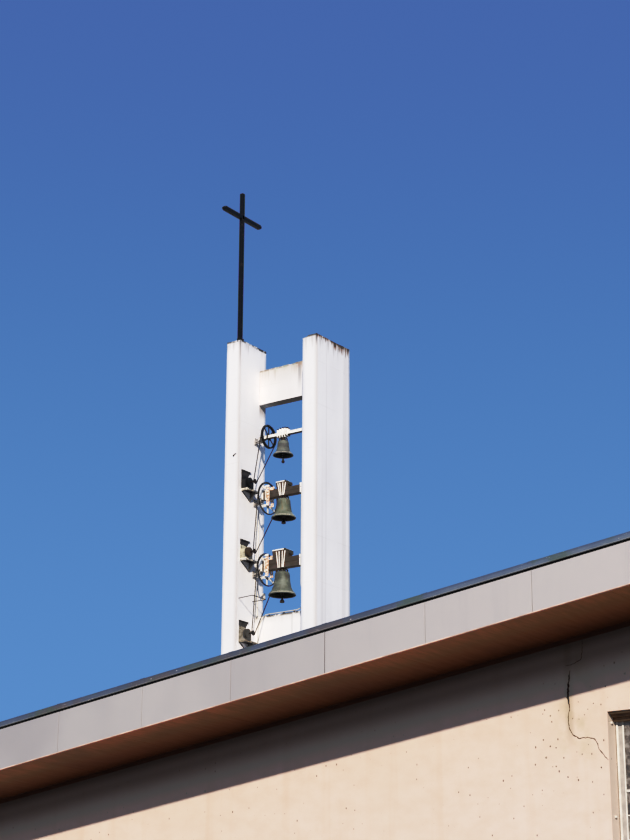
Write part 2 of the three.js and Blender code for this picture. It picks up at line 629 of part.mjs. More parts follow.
// The outline of a chain laid round two wheels, at a clearance from both
function chainOutline(big, small, path) {
  const run = Math.hypot(small.y - big.y, small.z - big.z);
  const heading = Math.atan2(small.z - big.z, small.y - big.y);
  const spread = Math.acos((big.radius - small.radius) / run);
  path.absarc(big.y, big.z, big.radius, heading + spread, heading - spread + 2 * Math.PI, false);
  path.absarc(small.y, small.z, small.radius, heading - spread, heading + spread, false);
  path.closePath();
  return path;
}

function chainLoop(bell) {
  const big = { y: BELL_Y, z: bell.axis, radius: bell.wheelRadius + CHAIN.clearance };
  const small = { y: bell.motor.y, z: bell.motor.z, radius: SPROCKET.radius + SEAT };
  const thicken = (circle) => ({ ...circle, radius: circle.radius + CHAIN.thickness });
  const shape = chainOutline(thicken(big), thicken(small), new THREE.Shape());
  shape.holes.push(chainOutline(big, small, new THREE.Path()));
  const ends = [WHEEL.x - CHAIN.width / 2, WHEEL.x + CHAIN.width / 2];
  place(`chain_loop_${bell.name}`, panelAlong(shape, ...ends, CHAIN.arcSegments), CHAIN_STEEL);
}

for (const item of BELLS) {
  bearing(`bearing_left_${item.name}`, item.axis, YOKE_X - YOKE_HALF_LENGTH, LEFT_PYLON.x1);
  bearing(`bearing_right_${item.name}`, item.axis, YOKE_X + YOKE_HALF_LENGTH, RIGHT_PYLON.x0);
  yoke(item);
  wheel(item);
  bellShell(item);
  clapper(item);
  motorBracket(item);
  motor(item);
  chainLoop(item);
}
buildWalls();
buildFloor();
buildRoof();
buildWindows();
buildDoors();
buildTower();
buildCross();

export default church;
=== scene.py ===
import math
import random

import bmesh
import bpy
from mathutils import Matrix, Vector, noise


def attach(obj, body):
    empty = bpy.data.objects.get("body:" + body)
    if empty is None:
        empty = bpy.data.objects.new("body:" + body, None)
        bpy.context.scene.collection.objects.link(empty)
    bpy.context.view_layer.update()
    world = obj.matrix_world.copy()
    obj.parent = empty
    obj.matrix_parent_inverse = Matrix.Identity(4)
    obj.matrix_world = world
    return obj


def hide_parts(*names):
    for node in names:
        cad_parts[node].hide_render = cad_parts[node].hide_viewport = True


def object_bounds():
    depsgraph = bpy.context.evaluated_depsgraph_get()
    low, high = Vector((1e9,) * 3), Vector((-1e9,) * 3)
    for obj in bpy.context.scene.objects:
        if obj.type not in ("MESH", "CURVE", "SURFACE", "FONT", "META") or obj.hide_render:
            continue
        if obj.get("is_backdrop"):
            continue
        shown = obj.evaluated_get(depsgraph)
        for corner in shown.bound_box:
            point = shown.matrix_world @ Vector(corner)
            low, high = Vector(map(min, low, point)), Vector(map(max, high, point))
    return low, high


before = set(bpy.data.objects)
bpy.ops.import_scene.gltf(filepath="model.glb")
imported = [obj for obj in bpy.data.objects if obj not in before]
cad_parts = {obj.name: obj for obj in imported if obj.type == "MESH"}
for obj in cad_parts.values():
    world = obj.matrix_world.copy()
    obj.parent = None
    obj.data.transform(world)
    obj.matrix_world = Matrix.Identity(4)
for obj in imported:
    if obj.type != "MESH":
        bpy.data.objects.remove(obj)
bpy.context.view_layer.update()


# The camera stands on the ground in front of the nave's high end and looks up
# past the eaves at the tower, with a long lens.
CAMERA_PLACE = Vector((20.22, -32.88, 1.60))
CAMERA_PITCH = math.radians(18.49)
CAMERA_HEADING = math.radians(35.10)
CAMERA_ROLL = math.radians(0.24)
camera_data = bpy.data.cameras.new("camera")
camera_data.lens = 82.24
camera_data.sensor_width = 36.0
camera_data.clip_end = 400.0
camera = bpy.data.objects.new("camera", camera_data)
bpy.context.scene.collection.objects.link(camera)
camera.matrix_world = (
    Matrix.Translation(CAMERA_PLACE)
    @ Matrix.Rotation(CAMERA_HEADING, 4, "Z")
    @ Matrix.Rotation(math.pi / 2 + CAMERA_PITCH, 4, "X")
    @ Matrix.Rotation(CAMERA_ROLL, 4, "Z")
)
bpy.context.scene.camera = camera


# The studio: a pale floor, a plain blue backdrop that gives the soft fill, a crisp
# key light from behind the camera and a softer one from the far side. The film's
# curve holds back the lights and deepens the shade.
FLOOR_HALF = 160.0
SQUARE = ((-1, -1), (1, -1), (1, 1), (-1, 1))
KEY_STRENGTH = 3.75
REAR_STRENGTH = 1.6
KEY_SPREAD = math.radians(1.0)
KEY_HEADING = math.radians(36.0)
KEY_HEIGHT = math.radians(25.7)


def colour(red, green, blue):
    """A colour given as it looks on a screen, from 0 to 255."""
    parts = (red / 255, green / 255, blue / 255)
    return tuple(c / 12.92 if c <= 0.04045 else ((c + 0.055) / 1.055) ** 2.4 for c in parts) + (1.0,)


class Wire:
    """One output of a node. Arithmetic on it adds the Math nodes."""

    def __init__(self, socket):
        self.socket = socket

    def node(self, kind, inputs=None, output=0, stops=(), **settings):
        tree = self.socket.id_data
        made = tree.nodes.new(kind)
        for name, value in settings.items():
            setattr(made, name, value)
        for index, (place, shade) in enumerate(stops):
            elements = made.color_ramp.elements
            element = elements[index] if index < 2 else elements.new(place)
            element.position = place
            element.color = shade
        for name, value in (inputs or {}).items():
            for item in value if isinstance(value, list) else [value]:
                if isinstance(item, Wire):
                    tree.links.new(item.socket, made.inputs[name])
                else:
                    made.inputs[name].default_value = item
        return Wire(made.outputs[output])

    def math(self, operation, *values):
        return self.node("ShaderNodeMath", dict(enumerate(values)), operation=operation)

    def __add__(self, other):
        return self.math("ADD", self, other)

    def __radd__(self, other):
        return self.math("ADD", other, self)

    def __sub__(self, other):
        return self.math("SUBTRACT", self, other)

    def __rsub__(self, other):
        return self.math("SUBTRACT", other, self)

    def __mul__(self, other):
        return self.math("MULTIPLY", self, other)

    def __rmul__(self, other):
        return self.math("MULTIPLY", other, self)

    def __truediv__(self, other):
        return self.math("DIVIDE", self, other)

    def floor(self):
        return self.math("FLOOR", self)

    def size(self):
        return self.math("ABSOLUTE", self)

    def ramp(self, low, high):
        """0 at low, 1 at high and smooth between them."""
        inputs = {"Value": self, "From Min": low, "From Max": high}
        return self.node("ShaderNodeMapRange", inputs, interpolation_type="SMOOTHSTEP")

    def tint(self, first, second):
        """The first colour where this is 0 and the second where it is 1."""
        pair = [colour(*shade) if isinstance(shade, tuple) and len(shade) == 3 else shade
                for shade in (first, second)]
        return self.node("ShaderNodeMix", {0: self, 6: pair[0], 7: pair[1]}, output=2, data_type="RGBA")

    def coat(self, mask, shade):
        """This colour, with another laid over it where the mask is 1."""
        return mask.tint(self, shade)

    def near(self, middle, far, close):
        """1 within one distance of a middle value and 0 beyond another."""
        return (self - middle).size().ramp(far, close)

    def stretched(self, x, y, z):
        return self.node("ShaderNodeMapping", {"Vector": self, "Scale": (x, y, z)})

    def cloud(self, scale, detail=3.0, rough=0.55):
        inputs = {"Vector": self, "Scale": scale, "Detail": detail, "Roughness": rough}
        return self.node("ShaderNodeTexNoise", inputs)

    def axis(self, output):
        return self.node("ShaderNodeSeparateXYZ", {0: self}, output)

    x = property(lambda self: self.axis(0))
    y = property(lambda self: self.axis(1))
    z = property(lambda self: self.axis(2))

    def bump(self, strength, distance):
        inputs = {"Height": self, "Strength": strength, "Distance": distance}
        return self.node("ShaderNodeBump", inputs)


def new_finish(name, roughness=0.6, metallic=0.0, specular=0.5):
    """A material, its shader and the wire of its Object coordinates."""
    finish = bpy.data.materials.new(name)
    finish.use_nodes = True
    shader = finish.node_tree.nodes["Principled BSDF"]
    shader.inputs["Roughness"].default_value = roughness
    shader.inputs["Metallic"].default_value = metallic
    shader.inputs["Specular IOR Level"].default_value = specular
    place = Wire(finish.node_tree.nodes.new("ShaderNodeTexCoord").outputs["Object"])
    return finish, shader, place


def feed(shader, **wires):
    """Links wires to the shader's own sockets."""
    names = {"base": "Base Color", "rough": "Roughness", "metal": "Metallic", "normal": "Normal"}
    for name, wire in wires.items():
        shader.id_data.links.new(wire.socket, shader.inputs[names[name]])


def mottled(
    name, first, second, scale, detail=3.0, span=None, rough=0.6, metallic=0.0, specular=0.5, bump=None,
):
    """A finish whose two colours drift into each other. Rough is a value, or a
    lowest value and what the drift adds, and bump a cloud and its strength."""
    wavers = isinstance(rough, tuple)
    finish, shader, place = new_finish(name, rough[0] if wavers else rough, metallic, specular)
    drift = place.cloud(scale, detail)
    if span:
        drift = drift.ramp(*span)
    feed(shader, base=drift.tint(first, second))
    if wavers:
        feed(shader, rough=rough[0] + drift * rough[1])
    if bump:
        feed(shader, normal=place.cloud(*bump[:2]).bump(*bump[2:]))
    return finish


def mesh_object(name, mesh):
    made = bpy.data.objects.new(name, mesh)
    bpy.context.scene.collection.objects.link(made)
    return made


floor_finish = mottled("pale_floor", (176, 172, 165), (170, 167, 160), 0.4, rough=0.9)
floor_mesh = bpy.data.meshes.new("floor")
floor_corners = [(x * FLOOR_HALF, y * FLOOR_HALF, -0.004) for x, y in SQUARE]
floor_mesh.from_pydata(floor_corners, [], [(0, 1, 2, 3)])
floor_mesh.materials.append(floor_finish)
mesh_object("floor", floor_mesh)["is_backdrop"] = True

air = bpy.data.worlds.new("air")
air.use_nodes = True
backdrop = air.node_tree.nodes["Background"]
way_up = Wire(air.node_tree.nodes.new("ShaderNodeTexCoord").outputs["Generated"]).z
seen_sky = way_up.ramp(0.08, 0.55).tint((0.212, 0.352, 0.61, 1.0), (0.135, 0.235, 0.45, 1.0))
seen = Wire(air.node_tree.nodes.new("ShaderNodeLightPath").outputs["Is Camera Ray"])
air.node_tree.links.new(seen.tint((0.098, 0.205, 0.415, 1.0), seen_sky).socket, backdrop.inputs["Color"])
bpy.context.scene.world = air
film = bpy.context.scene.view_settings
film.view_transform = "Standard"
film.use_curve_mapping = True
tone = film.curve_mapping.curves[3]
for darker, lighter in ((0.1, 0.048), (0.165, 0.068), (0.3, 0.21), (0.5, 0.47), (0.75, 0.755), (0.9, 0.85)):
    tone.points.new(darker, lighter)
tone.points[-1].location = (1.0, 0.9)
film.curve_mapping.update()


def studio_light(name, strength, shade, spread, height, heading):
    data = bpy.data.lights.new(name, "SUN")
    data.energy, data.color, data.angle = strength, shade, spread
    light = bpy.data.objects.new(name, data)
    bpy.context.scene.collection.objects.link(light)
    light.rotation_euler = (math.pi / 2 - height, 0.0, heading)


studio_light("key_light", KEY_STRENGTH, (1.0, 0.9, 0.76), KEY_SPREAD, KEY_HEIGHT, KEY_HEADING)
studio_light(
    "rear_light", REAR_STRENGTH, (0.86, 0.93, 1.0), math.radians(40), math.radians(35), KEY_HEADING + math.pi,
)


# The nave's walls: masonry under a cream cement render, floated by hand, with
# small pocks all over and a grey bloom round the crack by the tall window.
SOFFIT_BASE, SOFFIT_SLOPE = 7.102, 0.137
WALL_X, WALL_Y = 10.51, 6.04
render, shader, place = new_finish("cement_render", roughness=0.94, specular=0.25)
patches = place.cloud(0.45).ramp(0.36, 0.64)
cream = patches.tint((226, 210, 199), (229, 212, 202))
float_marks = place.stretched(1, 1, 1.6).cloud(2.3, 5, 0.6)
cream = cream.coat(float_marks.ramp(0.3, 0.75), (222, 205, 193))
bloom = place.x.near(6.34, 0.5, 0.02)
bloom = bloom * place.z.ramp(5.5, 6.5) * place.y.ramp(-5.9, -6.0) * place.cloud(3.1, 4).ramp(0.42, 0.66)
cream = cream.coat(bloom * 0.6, (200, 190, 166))
seam = place.x.near(6.26, 0.11, 0.01) * place.z.ramp(6.2, 6.6) * place.y.ramp(-5.9, -6.0)
cream = cream.coat(seam * 0.5, (176, 168, 146))
streaks = place.stretched(1, 1, 0.06).cloud(3.0).ramp(0.5, 0.72)
cream = cream.coat(streaks * 0.25, (212, 190, 172))
# Painted shade under the eaves: the top 0.8 m of the wall darkens, to near black at the soffit.
eaves_shade_depth = place.z - SOFFIT_SLOPE * place.x - SOFFIT_BASE
cream = cream.coat(eaves_shade_depth.ramp(-0.82, -0.3) * 0.8, (62, 44, 38))
cream = cream.coat(eaves_shade_depth.ramp(-0.26, -0.07) * 0.6, (40, 27, 24))
# Painted shade on the reveals: inside the wall's face the render is darker and greyer.
reveal_shade = place.y.size().ramp(6.036, 6.03) * place.x.size().ramp(10.506, 10.5)
cream = cream.coat(reveal_shade * 0.85, (210, 200, 192))
flat_place = place.node("ShaderNodeCombineXYZ", {"X": place.x + place.y, "Y": place.z * 0.55})
cells = flat_place.node("ShaderNodeTexVoronoi", {"Vector": flat_place, "Scale": 5.0}, voronoi_dimensions="2D")
lot = Wire(cells.socket.node.outputs["Color"]).x
pock_size = 0.012 + 0.052 * lot * lot
pocks = cells.ramp(pock_size, pock_size * 0.5) * lot.ramp(0.18, 0.42) * place.cloud(0.8, 1).ramp(0.34, 0.5)
cream = cream.coat(pocks * 0.85, (100, 88, 78))
grain = place.cloud(90) * 0.25 + float_marks * 0.9 - pocks * 1.4
feed(shader, base=cream, normal=grain.bump(0.55, 0.006))


def wear(finish, *nodes):
    """Gives kept nodes of the solid model their finish."""
    for node in nodes:
        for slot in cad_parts[node].material_slots:
            slot.material = finish


wear(render, "front_wall", "rear_wall", "low_end_wall", "high_end_wall")


# A crack runs down the front wall from the soffit to the window's corner, wide
# open in its upper part, and flakes have fallen out round it. Both are thin dark
# shapes that lie in the render.
crack_dark = mottled("crack_dark", (38, 29, 26), (92, 74, 62), 30, 3, (0.35, 0.7), 1.0, specular=0.1)


def skinned(work, rings, loop=False):
    """Faces between rings of points, and over both ends unless it is a loop."""
    for first, second in zip(rings, rings[1:] + rings[:1] * loop):
        for k in range(len(first)):
            follow = (k + 1) % len(first)
            work.faces.new((first[k], first[follow], second[follow], second[k]))
    if not loop:
        work.faces.new(rings[0])
        work.faces.new(rings[-1])


def crack_line(work, knots, seed):
    """A jagged seam through knots of x, z and half width in millimetres."""
    chance = random.Random(seed)
    rings = []
    for (xa, za, wa), (xb, zb, wb) in zip(knots, knots[1:]):
        steps = max(2, int(math.hypot(xb - xa, zb - za) / 0.025))
        across = Vector((zb - za, 0, xa - xb)).normalized()
        for step in range(steps):
            t = step / steps
            half = (wa + (wb - wa) * t) * chance.uniform(0.85, 1.9) / 1000
            middle = Vector((xa + (xb - xa) * t, -WALL_Y, za + (zb - za) * t))
            middle += across * chance.uniform(-0.006, 0.006)
            edges = [middle - across * half, middle + Vector((0, -0.0016, 0)), middle + across * half]
            rings.append([work.verts.new(point) for point in edges + [middle + Vector((0, 0.002, 0))]])
    skinned(work, rings)


def made_piece(name, work, finish, smooth=34.0):
    """A mesh object from a bmesh, faces outwards and smooth up to an angle."""
    bmesh.ops.recalc_face_normals(work, faces=work.faces)
    mesh = bpy.data.meshes.new(name)
    work.to_mesh(mesh)
    work.free()
    mesh.shade_smooth()
    mesh.set_sharp_from_angle(angle=math.radians(smooth))
    mesh.materials.append(finish)
    return mesh_object(name, mesh)


def set_on(piece, body, slot, *nodes):
    """Hangs a piece on its body and hides the nodes it stands for. Its slot is not used."""
    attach(piece, body)
    if nodes:
        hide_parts(*nodes)
    return piece


def built(work, name, finish, slot, *nodes, body="church", smooth=34.0):
    """A piece from a bmesh, hung on its body."""
    return set_on(made_piece(name, work, finish, smooth), body, slot, *nodes)


work = bmesh.new()
crack_line(
    work, [(6.53, 7.93, 3), (6.519, 7.741, 3.5), (6.496, 7.632, 4), (6.37, 7.566, 3.5), (6.188, 7.554, 1.5)],
    3,
)
crack_line(work, [
    (6.288, 7.47, 5), (6.26, 7.275, 12), (6.237, 7.072, 14), (6.255, 6.959, 6), (6.262, 6.865, 4),
    (6.228, 6.741, 3.5), (6.238, 6.588, 4), (6.263, 6.519, 4.5), (6.301, 6.462, 5), (6.408, 6.393, 4.5),
    (6.552, 6.39, 4), (6.671, 6.359, 4.5), (6.721, 6.276, 4), (6.751, 6.186, 3.5), (6.824, 6.098, 4),
    (6.909, 5.99, 2.5),
], 4)
built(work, "wall_crack", crack_dark, "render")
POCKS = [
    (7.07, 7.51, 20), (6.89, 7.48, 18), (7.24, 7.32, 20), (6.64, 7.18, 10), (6.9, 7.16, 12), (6.07, 6.86, 13),
    (5.82, 6.89, 13), (5.92, 6.79, 16), (5.94, 6.69, 13), (6.42, 6.96, 10), (6.58, 6.83, 10),
    (6.52, 6.75, 12), (6.31, 6.71, 13), (6.42, 6.69, 10), (6.81, 6.88, 15), (6.68, 6.91, 10),
    (5.78, 6.42, 13), (5.9, 6.31, 13), (6.0, 6.28, 11), (5.82, 6.14, 20), (6.13, 6.11, 13), (6.45, 6.14, 15),
    (5.93, 5.99, 10), (5.99, 5.99, 13), (6.77, 5.91, 13), (6.37, 5.75, 15), (6.19, 5.81, 13),
    (5.73, 5.64, 10),
]
pock_brown = mottled("pock_shade", (112, 102, 92), (168, 156, 142), 9, 2, (0.4, 0.6), 1.0, specular=0.1)
work = bmesh.new()
chance = random.Random(8)
for x, z, size in POCKS:
    rim = []
    for corner in range(9):
        t, reach = 2 * math.pi * corner / 9, size * chance.uniform(0.6, 1.0) / 1000
        rim.append(work.verts.new((x + reach * math.cos(t), -WALL_Y - 0.0008, z + 1.2 * reach * math.sin(t))))
    back = work.verts.new((x, 0.002 - WALL_Y, z))
    for corner in range(9):
        work.faces.new((rim[corner], rim[(corner + 1) % 9], back))
    work.faces.new(rim)
built(work, "wall_pocks", pock_brown, "render")


# The floor slab and the roof slab are cast concrete. The roof slab's edge has a
# black bitumen felt over it, which shows in the gap between fascia and capping;
# its near-black there is also painted shade in the gap.
concrete = mottled(
    "floor_concrete", (158, 154, 146), (176, 172, 163), 0.8, 5, (0.35, 0.68), 0.85, bump=(40, 4, 0.3, 0.003),
)
felt_and_gap_shade = mottled(
    "bitumen_felt_and_gap_shade", (20, 20, 21), (40, 39, 38), 25, 4, rough=0.95, specular=0.2, bump=(160, 3, 0.4, 0.002),
)
wear(concrete, "nave_floor")
wear(felt_and_gap_shade, "roof_slab")


# The soffit: stained plywood panels butted side by side under the overhang, one
# about every 1.9 m, with a hairline joint between them and their grain across.
ROOF_SLOPE = 0.13
PANEL = 1.9
SOFFIT_FIRST_JOINT, SOFFIT_LAST_JOINT = -11.1, 11.7
veneer, shader, place = new_finish("soffit_veneer", roughness=0.55, specular=0.35)
panel_number = ((place.x - SOFFIT_FIRST_JOINT) / PANEL).floor()
panel_tone = panel_number.node("ShaderNodeTexWhiteNoise", {"W": panel_number}, noise_dimensions="1D")
brown = panel_tone.tint((176, 92, 46), (184, 102, 52))
figure = place.stretched(9, 1.1, 1).cloud(1.6, 5, 0.6)
brown = brown.coat(figure.ramp(0.3, 0.7) * 0.35, (122, 70, 38))
brown = brown.coat(place.cloud(0.7, 2).ramp(0.4, 0.7) * 0.4, (112, 66, 38))
from_side, from_end = place.y.size() - WALL_Y, place.x.size() - 10.5
# Painted shade: the soffit darkens towards the wall, to near black beside it.
brown = brown.coat(from_side.ramp(1.7, 0.3) * from_end.ramp(1.7, 0.3) * 0.7, (60, 30, 15))
brown = brown.coat(from_side.ramp(0.45, 0.0) * from_end.ramp(0.45, 0.0) * 0.6, (40, 23, 16))
feed(
    shader, base=brown, rough=0.42 + figure * 0.25,
    normal=(figure * 0.5 + place.cloud(1.1, 1) * 2.0).bump(0.2, 0.004),
)


def new_tree(name, **sockets):
    """An empty Geometry Nodes tree and the wires of its named inputs."""
    tree = bpy.data.node_groups.new(name, "GeometryNodeTree")
    tree.interface.new_socket("Geometry", in_out="OUTPUT", socket_type="NodeSocketGeometry")
    for socket, kind in sockets.items():
        tree.interface.new_socket(socket, in_out="INPUT", socket_type="NodeSocket" + kind)
    entry = tree.nodes.new("NodeGroupInput")
    return tree, {socket.name: Wire(socket) for socket in entry.outputs if socket.name}


def end_tree(tree, geometry, finish):
    """Closes a tree: its instances are made real and painted."""
    solid = geometry.node("GeometryNodeRealizeInstances", {"Geometry": geometry})
    painted = solid.node("GeometryNodeSetMaterial", {"Geometry": solid, "Material": finish})
    tree.links.new(painted.socket, tree.nodes.new("NodeGroupOutput").inputs[0])


def grown(name, tree, base=None, **values):
    """What a tree makes for the given inputs, as a plain mesh object."""
    holder = mesh_object(name, base or bpy.data.meshes.new(name))
    modifier = holder.modifiers.new("grow", "NODES")
    modifier.node_group = tree
    for item in tree.interface.items_tree:
        if item.in_out == "INPUT" and item.name in values:
            modifier[item.identifier] = values[item.name]
    mesh = bpy.data.meshes.new_from_object(holder.evaluated_get(bpy.context.evaluated_depsgraph_get()))
    mesh.materials.clear()
    mesh.materials.append(values["Finish"])
    mesh.polygons.foreach_set("material_index", [0] * len(mesh.polygons))
    holder.modifiers.remove(modifier)
    holder.data = mesh
    return holder


def joined(name, *parts):
    """One piece from several of the same finish."""
    work = bmesh.new()
    for part in parts:
        work.from_mesh(part.data)
    finish = parts[0].data.materials[0]
    for part in parts:
        bpy.data.objects.remove(part)
    return made_piece(name, work, finish)


def eased(piece, width, segments=2):
    """Takes the sharpness off a piece's edges."""
    modifier = piece.modifiers.new("eased_edges", "BEVEL")
    modifier.width = width
    modifier.segments = segments
    modifier.limit_method = "ANGLE"
    return piece


row_tree, row = new_tree(
    "row_on_slope", Count="Int", First="Vector", Step="Vector", Size="Vector", Slope="Float",
    Finish="Material",
)
line = row["Count"].node(
    "GeometryNodeMeshLine", {"Count": row["Count"], "Start Location": row["First"], "Offset": row["Step"]},
    mode="OFFSET",
)
board = row["Size"].node("GeometryNodeMeshCube", {"Size": row["Size"]})
boards = line.node("GeometryNodeInstanceOnPoints", {"Points": line, "Instance": board})
boards = boards.node("GeometryNodeRealizeInstances", {"Geometry": boards})
lift = boards.node("ShaderNodeCombineXYZ", {"Z": boards.node("GeometryNodeInputPosition").x * row["Slope"]})
boards = boards.node("GeometryNodeSetPosition", {"Geometry": boards, "Offset": lift})
end_tree(row_tree, boards, row["Finish"])


def row_of(name, finish, count, first, step, size, slope=SOFFIT_SLOPE):
    return grown(name, row_tree, Count=count, First=first, Step=step, Size=size, Slope=slope, Finish=finish)


def four_sides(name, finish, place, along_x, along_y):
    """Four straight strips round the building, their middles at a given reach."""
    x, y, z = place
    return [row_of(name, finish, 1, (side * dx, side * dy, z), (0, 0, 0), size)
            for side in (-1, 1) for dx, dy, size in ((0, y, along_x), (x, 0, along_y))]


SOFFIT_OUT_X, SOFFIT_OUT_Y, SOFFIT_IN_X, SOFFIT_IN_Y = 12.2927, 7.8227, WALL_X + 0.0003, WALL_Y + 0.0003
SOFFIT_THICK, SOFFIT_MIDDLE, JOINT = 0.024, SOFFIT_BASE + 0.0275, 0.004
soffit_rows = []
for side in (-1, 1):
    middle, depth = side * (SOFFIT_OUT_Y + SOFFIT_IN_Y) / 2, SOFFIT_OUT_Y - SOFFIT_IN_Y
    for start, width, count in (
        (-SOFFIT_OUT_X, SOFFIT_OUT_X + SOFFIT_FIRST_JOINT, 1), (SOFFIT_FIRST_JOINT, PANEL, 12),
        (SOFFIT_LAST_JOINT, SOFFIT_OUT_X - SOFFIT_LAST_JOINT, 1),
    ):
        soffit_rows.append(row_of(
            "soffit_row", veneer, count, (start + width / 2, middle, SOFFIT_MIDDLE), (PANEL, 0, 0),
            (width - JOINT, depth, SOFFIT_THICK),
        ))
    pitch = 2 * SOFFIT_IN_Y / 6
    soffit_rows.append(row_of(
        "soffit_row", veneer, 6,
        (side * (SOFFIT_OUT_X + SOFFIT_IN_X) / 2, -SOFFIT_IN_Y + pitch / 2, SOFFIT_MIDDLE), (0, pitch, 0),
        (SOFFIT_OUT_X - SOFFIT_IN_X, pitch - JOINT, SOFFIT_THICK),
    ))
set_on(eased(joined("soffit_panels", *soffit_rows), 0.0015, 1), "church", "soffit_wood", "soffit_lining")
# A dark strip under the soffit at the wall's top, its dark a painted shade where they meet.
cornice_shade_dark, shader, place = new_finish("cornice_painted_shade", roughness=0.7, specular=0.2)
feed(shader, base=place.stretched(1, 1, 9).cloud(2, 4).ramp(0.3, 0.7).tint((52, 29, 20), (66, 38, 26)))
cornice = four_sides(
    "cornice", cornice_shade_dark, (WALL_X + 0.012, WALL_Y + 0.012, SOFFIT_BASE - 0.022),
    (2 * WALL_X + 0.048, 0.024, 0.075), (0.024, 2 * WALL_Y, 0.075),
)
set_on(eased(joined("wall_cornice", *cornice), 0.004, 1), "church", "soffit_wood")


# The fascia: pale grey aluminium cassettes 1.9 m long on a dark batten, with an
# open joint between them and two rivets at each end, painted over. One joint at
# the front is filled with dark mastic, and a folded drip closes the bottom, pale
# cream as a painted highlight along the lit bottom edge.
FASCIA_HEIGHT = 0.705
FASCIA_X, FASCIA_Y, CASSETTE_DEPTH, OPEN_JOINT = 12.338, 7.868, 0.030, 0.007
cassette, shader, place = new_finish("fascia_paint", roughness=0.5, specular=0.4)
cassette_number = ((place.x + 0.95) / PANEL).floor()
cassette_tone = cassette_number.node("ShaderNodeTexWhiteNoise", {"W": cassette_number}, noise_dimensions="1D")
pale = cassette_tone.tint((171, 168, 169), (178, 175, 175))
pale = pale.coat(place.x.ramp(-6, 12), (199, 194, 192))
pale = pale.coat(place.stretched(1, 1, 0.12).cloud(2.6, 4).ramp(0.45, 0.75) * 0.2, (172, 169, 171))
pale = pale.coat(place.cloud(0.5, 2).ramp(0.4, 0.7) * 0.5, (194, 190, 188))
dust = place.cloud(5, 4).ramp(0.3, 0.7)
feed(shader, base=pale, rough=0.42 + dust * 0.16, normal=place.cloud(0.7, 1).bump(0.12, 0.01))
dark_batten = mottled("dark_batten", (28, 26, 26), (44, 41, 40), 12, rough=0.9, specular=0.2)


def follow_roof(*rows):
    """Moves the upper points of rows from the soffit's slope to the roof's."""
    for row in rows:
        for point in row.data.vertices:
            if point.co.z - SOFFIT_SLOPE * point.co.x > SOFFIT_BASE + 0.3:
                point.co.z -= (SOFFIT_SLOPE - ROOF_SLOPE) * point.co.x


fascia_middle = SOFFIT_BASE + FASCIA_HEIGHT / 2
cassettes = []
for side in (-1, 1):
    face = side * (FASCIA_Y - CASSETTE_DEPTH / 2)
    corner = FASCIA_X - 10.45
    size = (PANEL - OPEN_JOINT, CASSETTE_DEPTH, FASCIA_HEIGHT)
    cassettes.append(row_of("cassette", cassette, 11, (-9.5, face, fascia_middle), (PANEL, 0, 0), size))
    for end in (-1, 1):
        size = (corner - OPEN_JOINT / 2, CASSETTE_DEPTH, FASCIA_HEIGHT)
        centre = end * (10.45 + corner / 2 + OPEN_JOINT / 4)
        cassettes.append(row_of("cassette", cassette, 1, (centre, face, fascia_middle), (PANEL, 0, 0), size))
    pitch = 2 * (FASCIA_Y - CASSETTE_DEPTH) / 8
    face = side * (FASCIA_X - CASSETTE_DEPTH / 2)
    size = (CASSETTE_DEPTH, pitch - OPEN_JOINT, FASCIA_HEIGHT)
    cassettes.append(row_of(
        "cassette", cassette, 8, (face, -FASCIA_Y + CASSETTE_DEPTH + pitch / 2, fascia_middle), (0, pitch, 0),
        size,
    ))
battens = four_sides(
    "batten", dark_batten, (12.3015, 7.8315, SOFFIT_BASE + 0.248), (24.65, 0.012, 0.49), (0.012, 15.64, 0.49),
)
battens.append(row_of(
    "mastic", dark_batten, 1, (2.85, 0.004 - FASCIA_Y, fascia_middle), (0, 0, 0),
    (0.004, 0.01, FASCIA_HEIGHT - 0.004),
))
follow_roof(*cassettes, *battens)
set_on(eased(joined("fascia_cassettes", *cassettes), 0.003), "church", "fascia_panel", "fascia")
set_on(joined("fascia_battens", *battens), "church", "fascia_panel")
# The drip is pale cream, a painted highlight along the fascia's bottom edge.
drip_highlight = mottled(
    "drip_edge_highlight", (238, 212, 196), (206, 184, 172), 3, 4, (0.35, 0.65), 0.5, specular=0.4,
)
drips = four_sides(
    "drip", drip_highlight, (FASCIA_X - 0.016, FASCIA_Y - 0.016, SOFFIT_BASE + 0.006),
    (2 * FASCIA_X + 0.006, 0.04, 0.013), (0.04, 2 * FASCIA_Y - 0.08, 0.013),
)
set_on(joined("fascia_drip", *drips), "church", "fascia_panel")

bolt_tree, bolt = new_tree(
    "bolts_on_points", Points="Geometry", Radius="Float", Height="Float", Sides="Int", Washer="Float",
    Finish="Material",
)


def standing_disc(wire, sides, radius, height):
    """A short cylinder that stands on its origin."""
    disc = wire.node("GeometryNodeMeshCylinder", {"Vertices": sides, "Radius": radius, "Depth": height})
    raised = wire.node("ShaderNodeCombineXYZ", {"Z": height * 0.5})
    return wire.node("GeometryNodeSetPosition", {"Geometry": disc, "Offset": raised})


head = standing_disc(bolt["Radius"], bolt["Sides"], bolt["Radius"], bolt["Height"])
washer = standing_disc(bolt["Radius"], 14, bolt["Washer"], bolt["Height"] * 0.25)
whole = head.node("GeometryNodeJoinGeometry", {"Geometry": [head, washer]})
aim = whole.node("GeometryNodeInputNamedAttribute", {"Name": "aim"}, data_type="FLOAT_VECTOR")
turn = whole.node("FunctionNodeAlignRotationToVector", {"Vector": aim}, axis="Z")
bolts = whole.node(
    "GeometryNodeInstanceOnPoints", {"Points": bolt["Points"], "Instance": whole, "Rotation": turn},
)
end_tree(bolt_tree, bolts, bolt["Finish"])


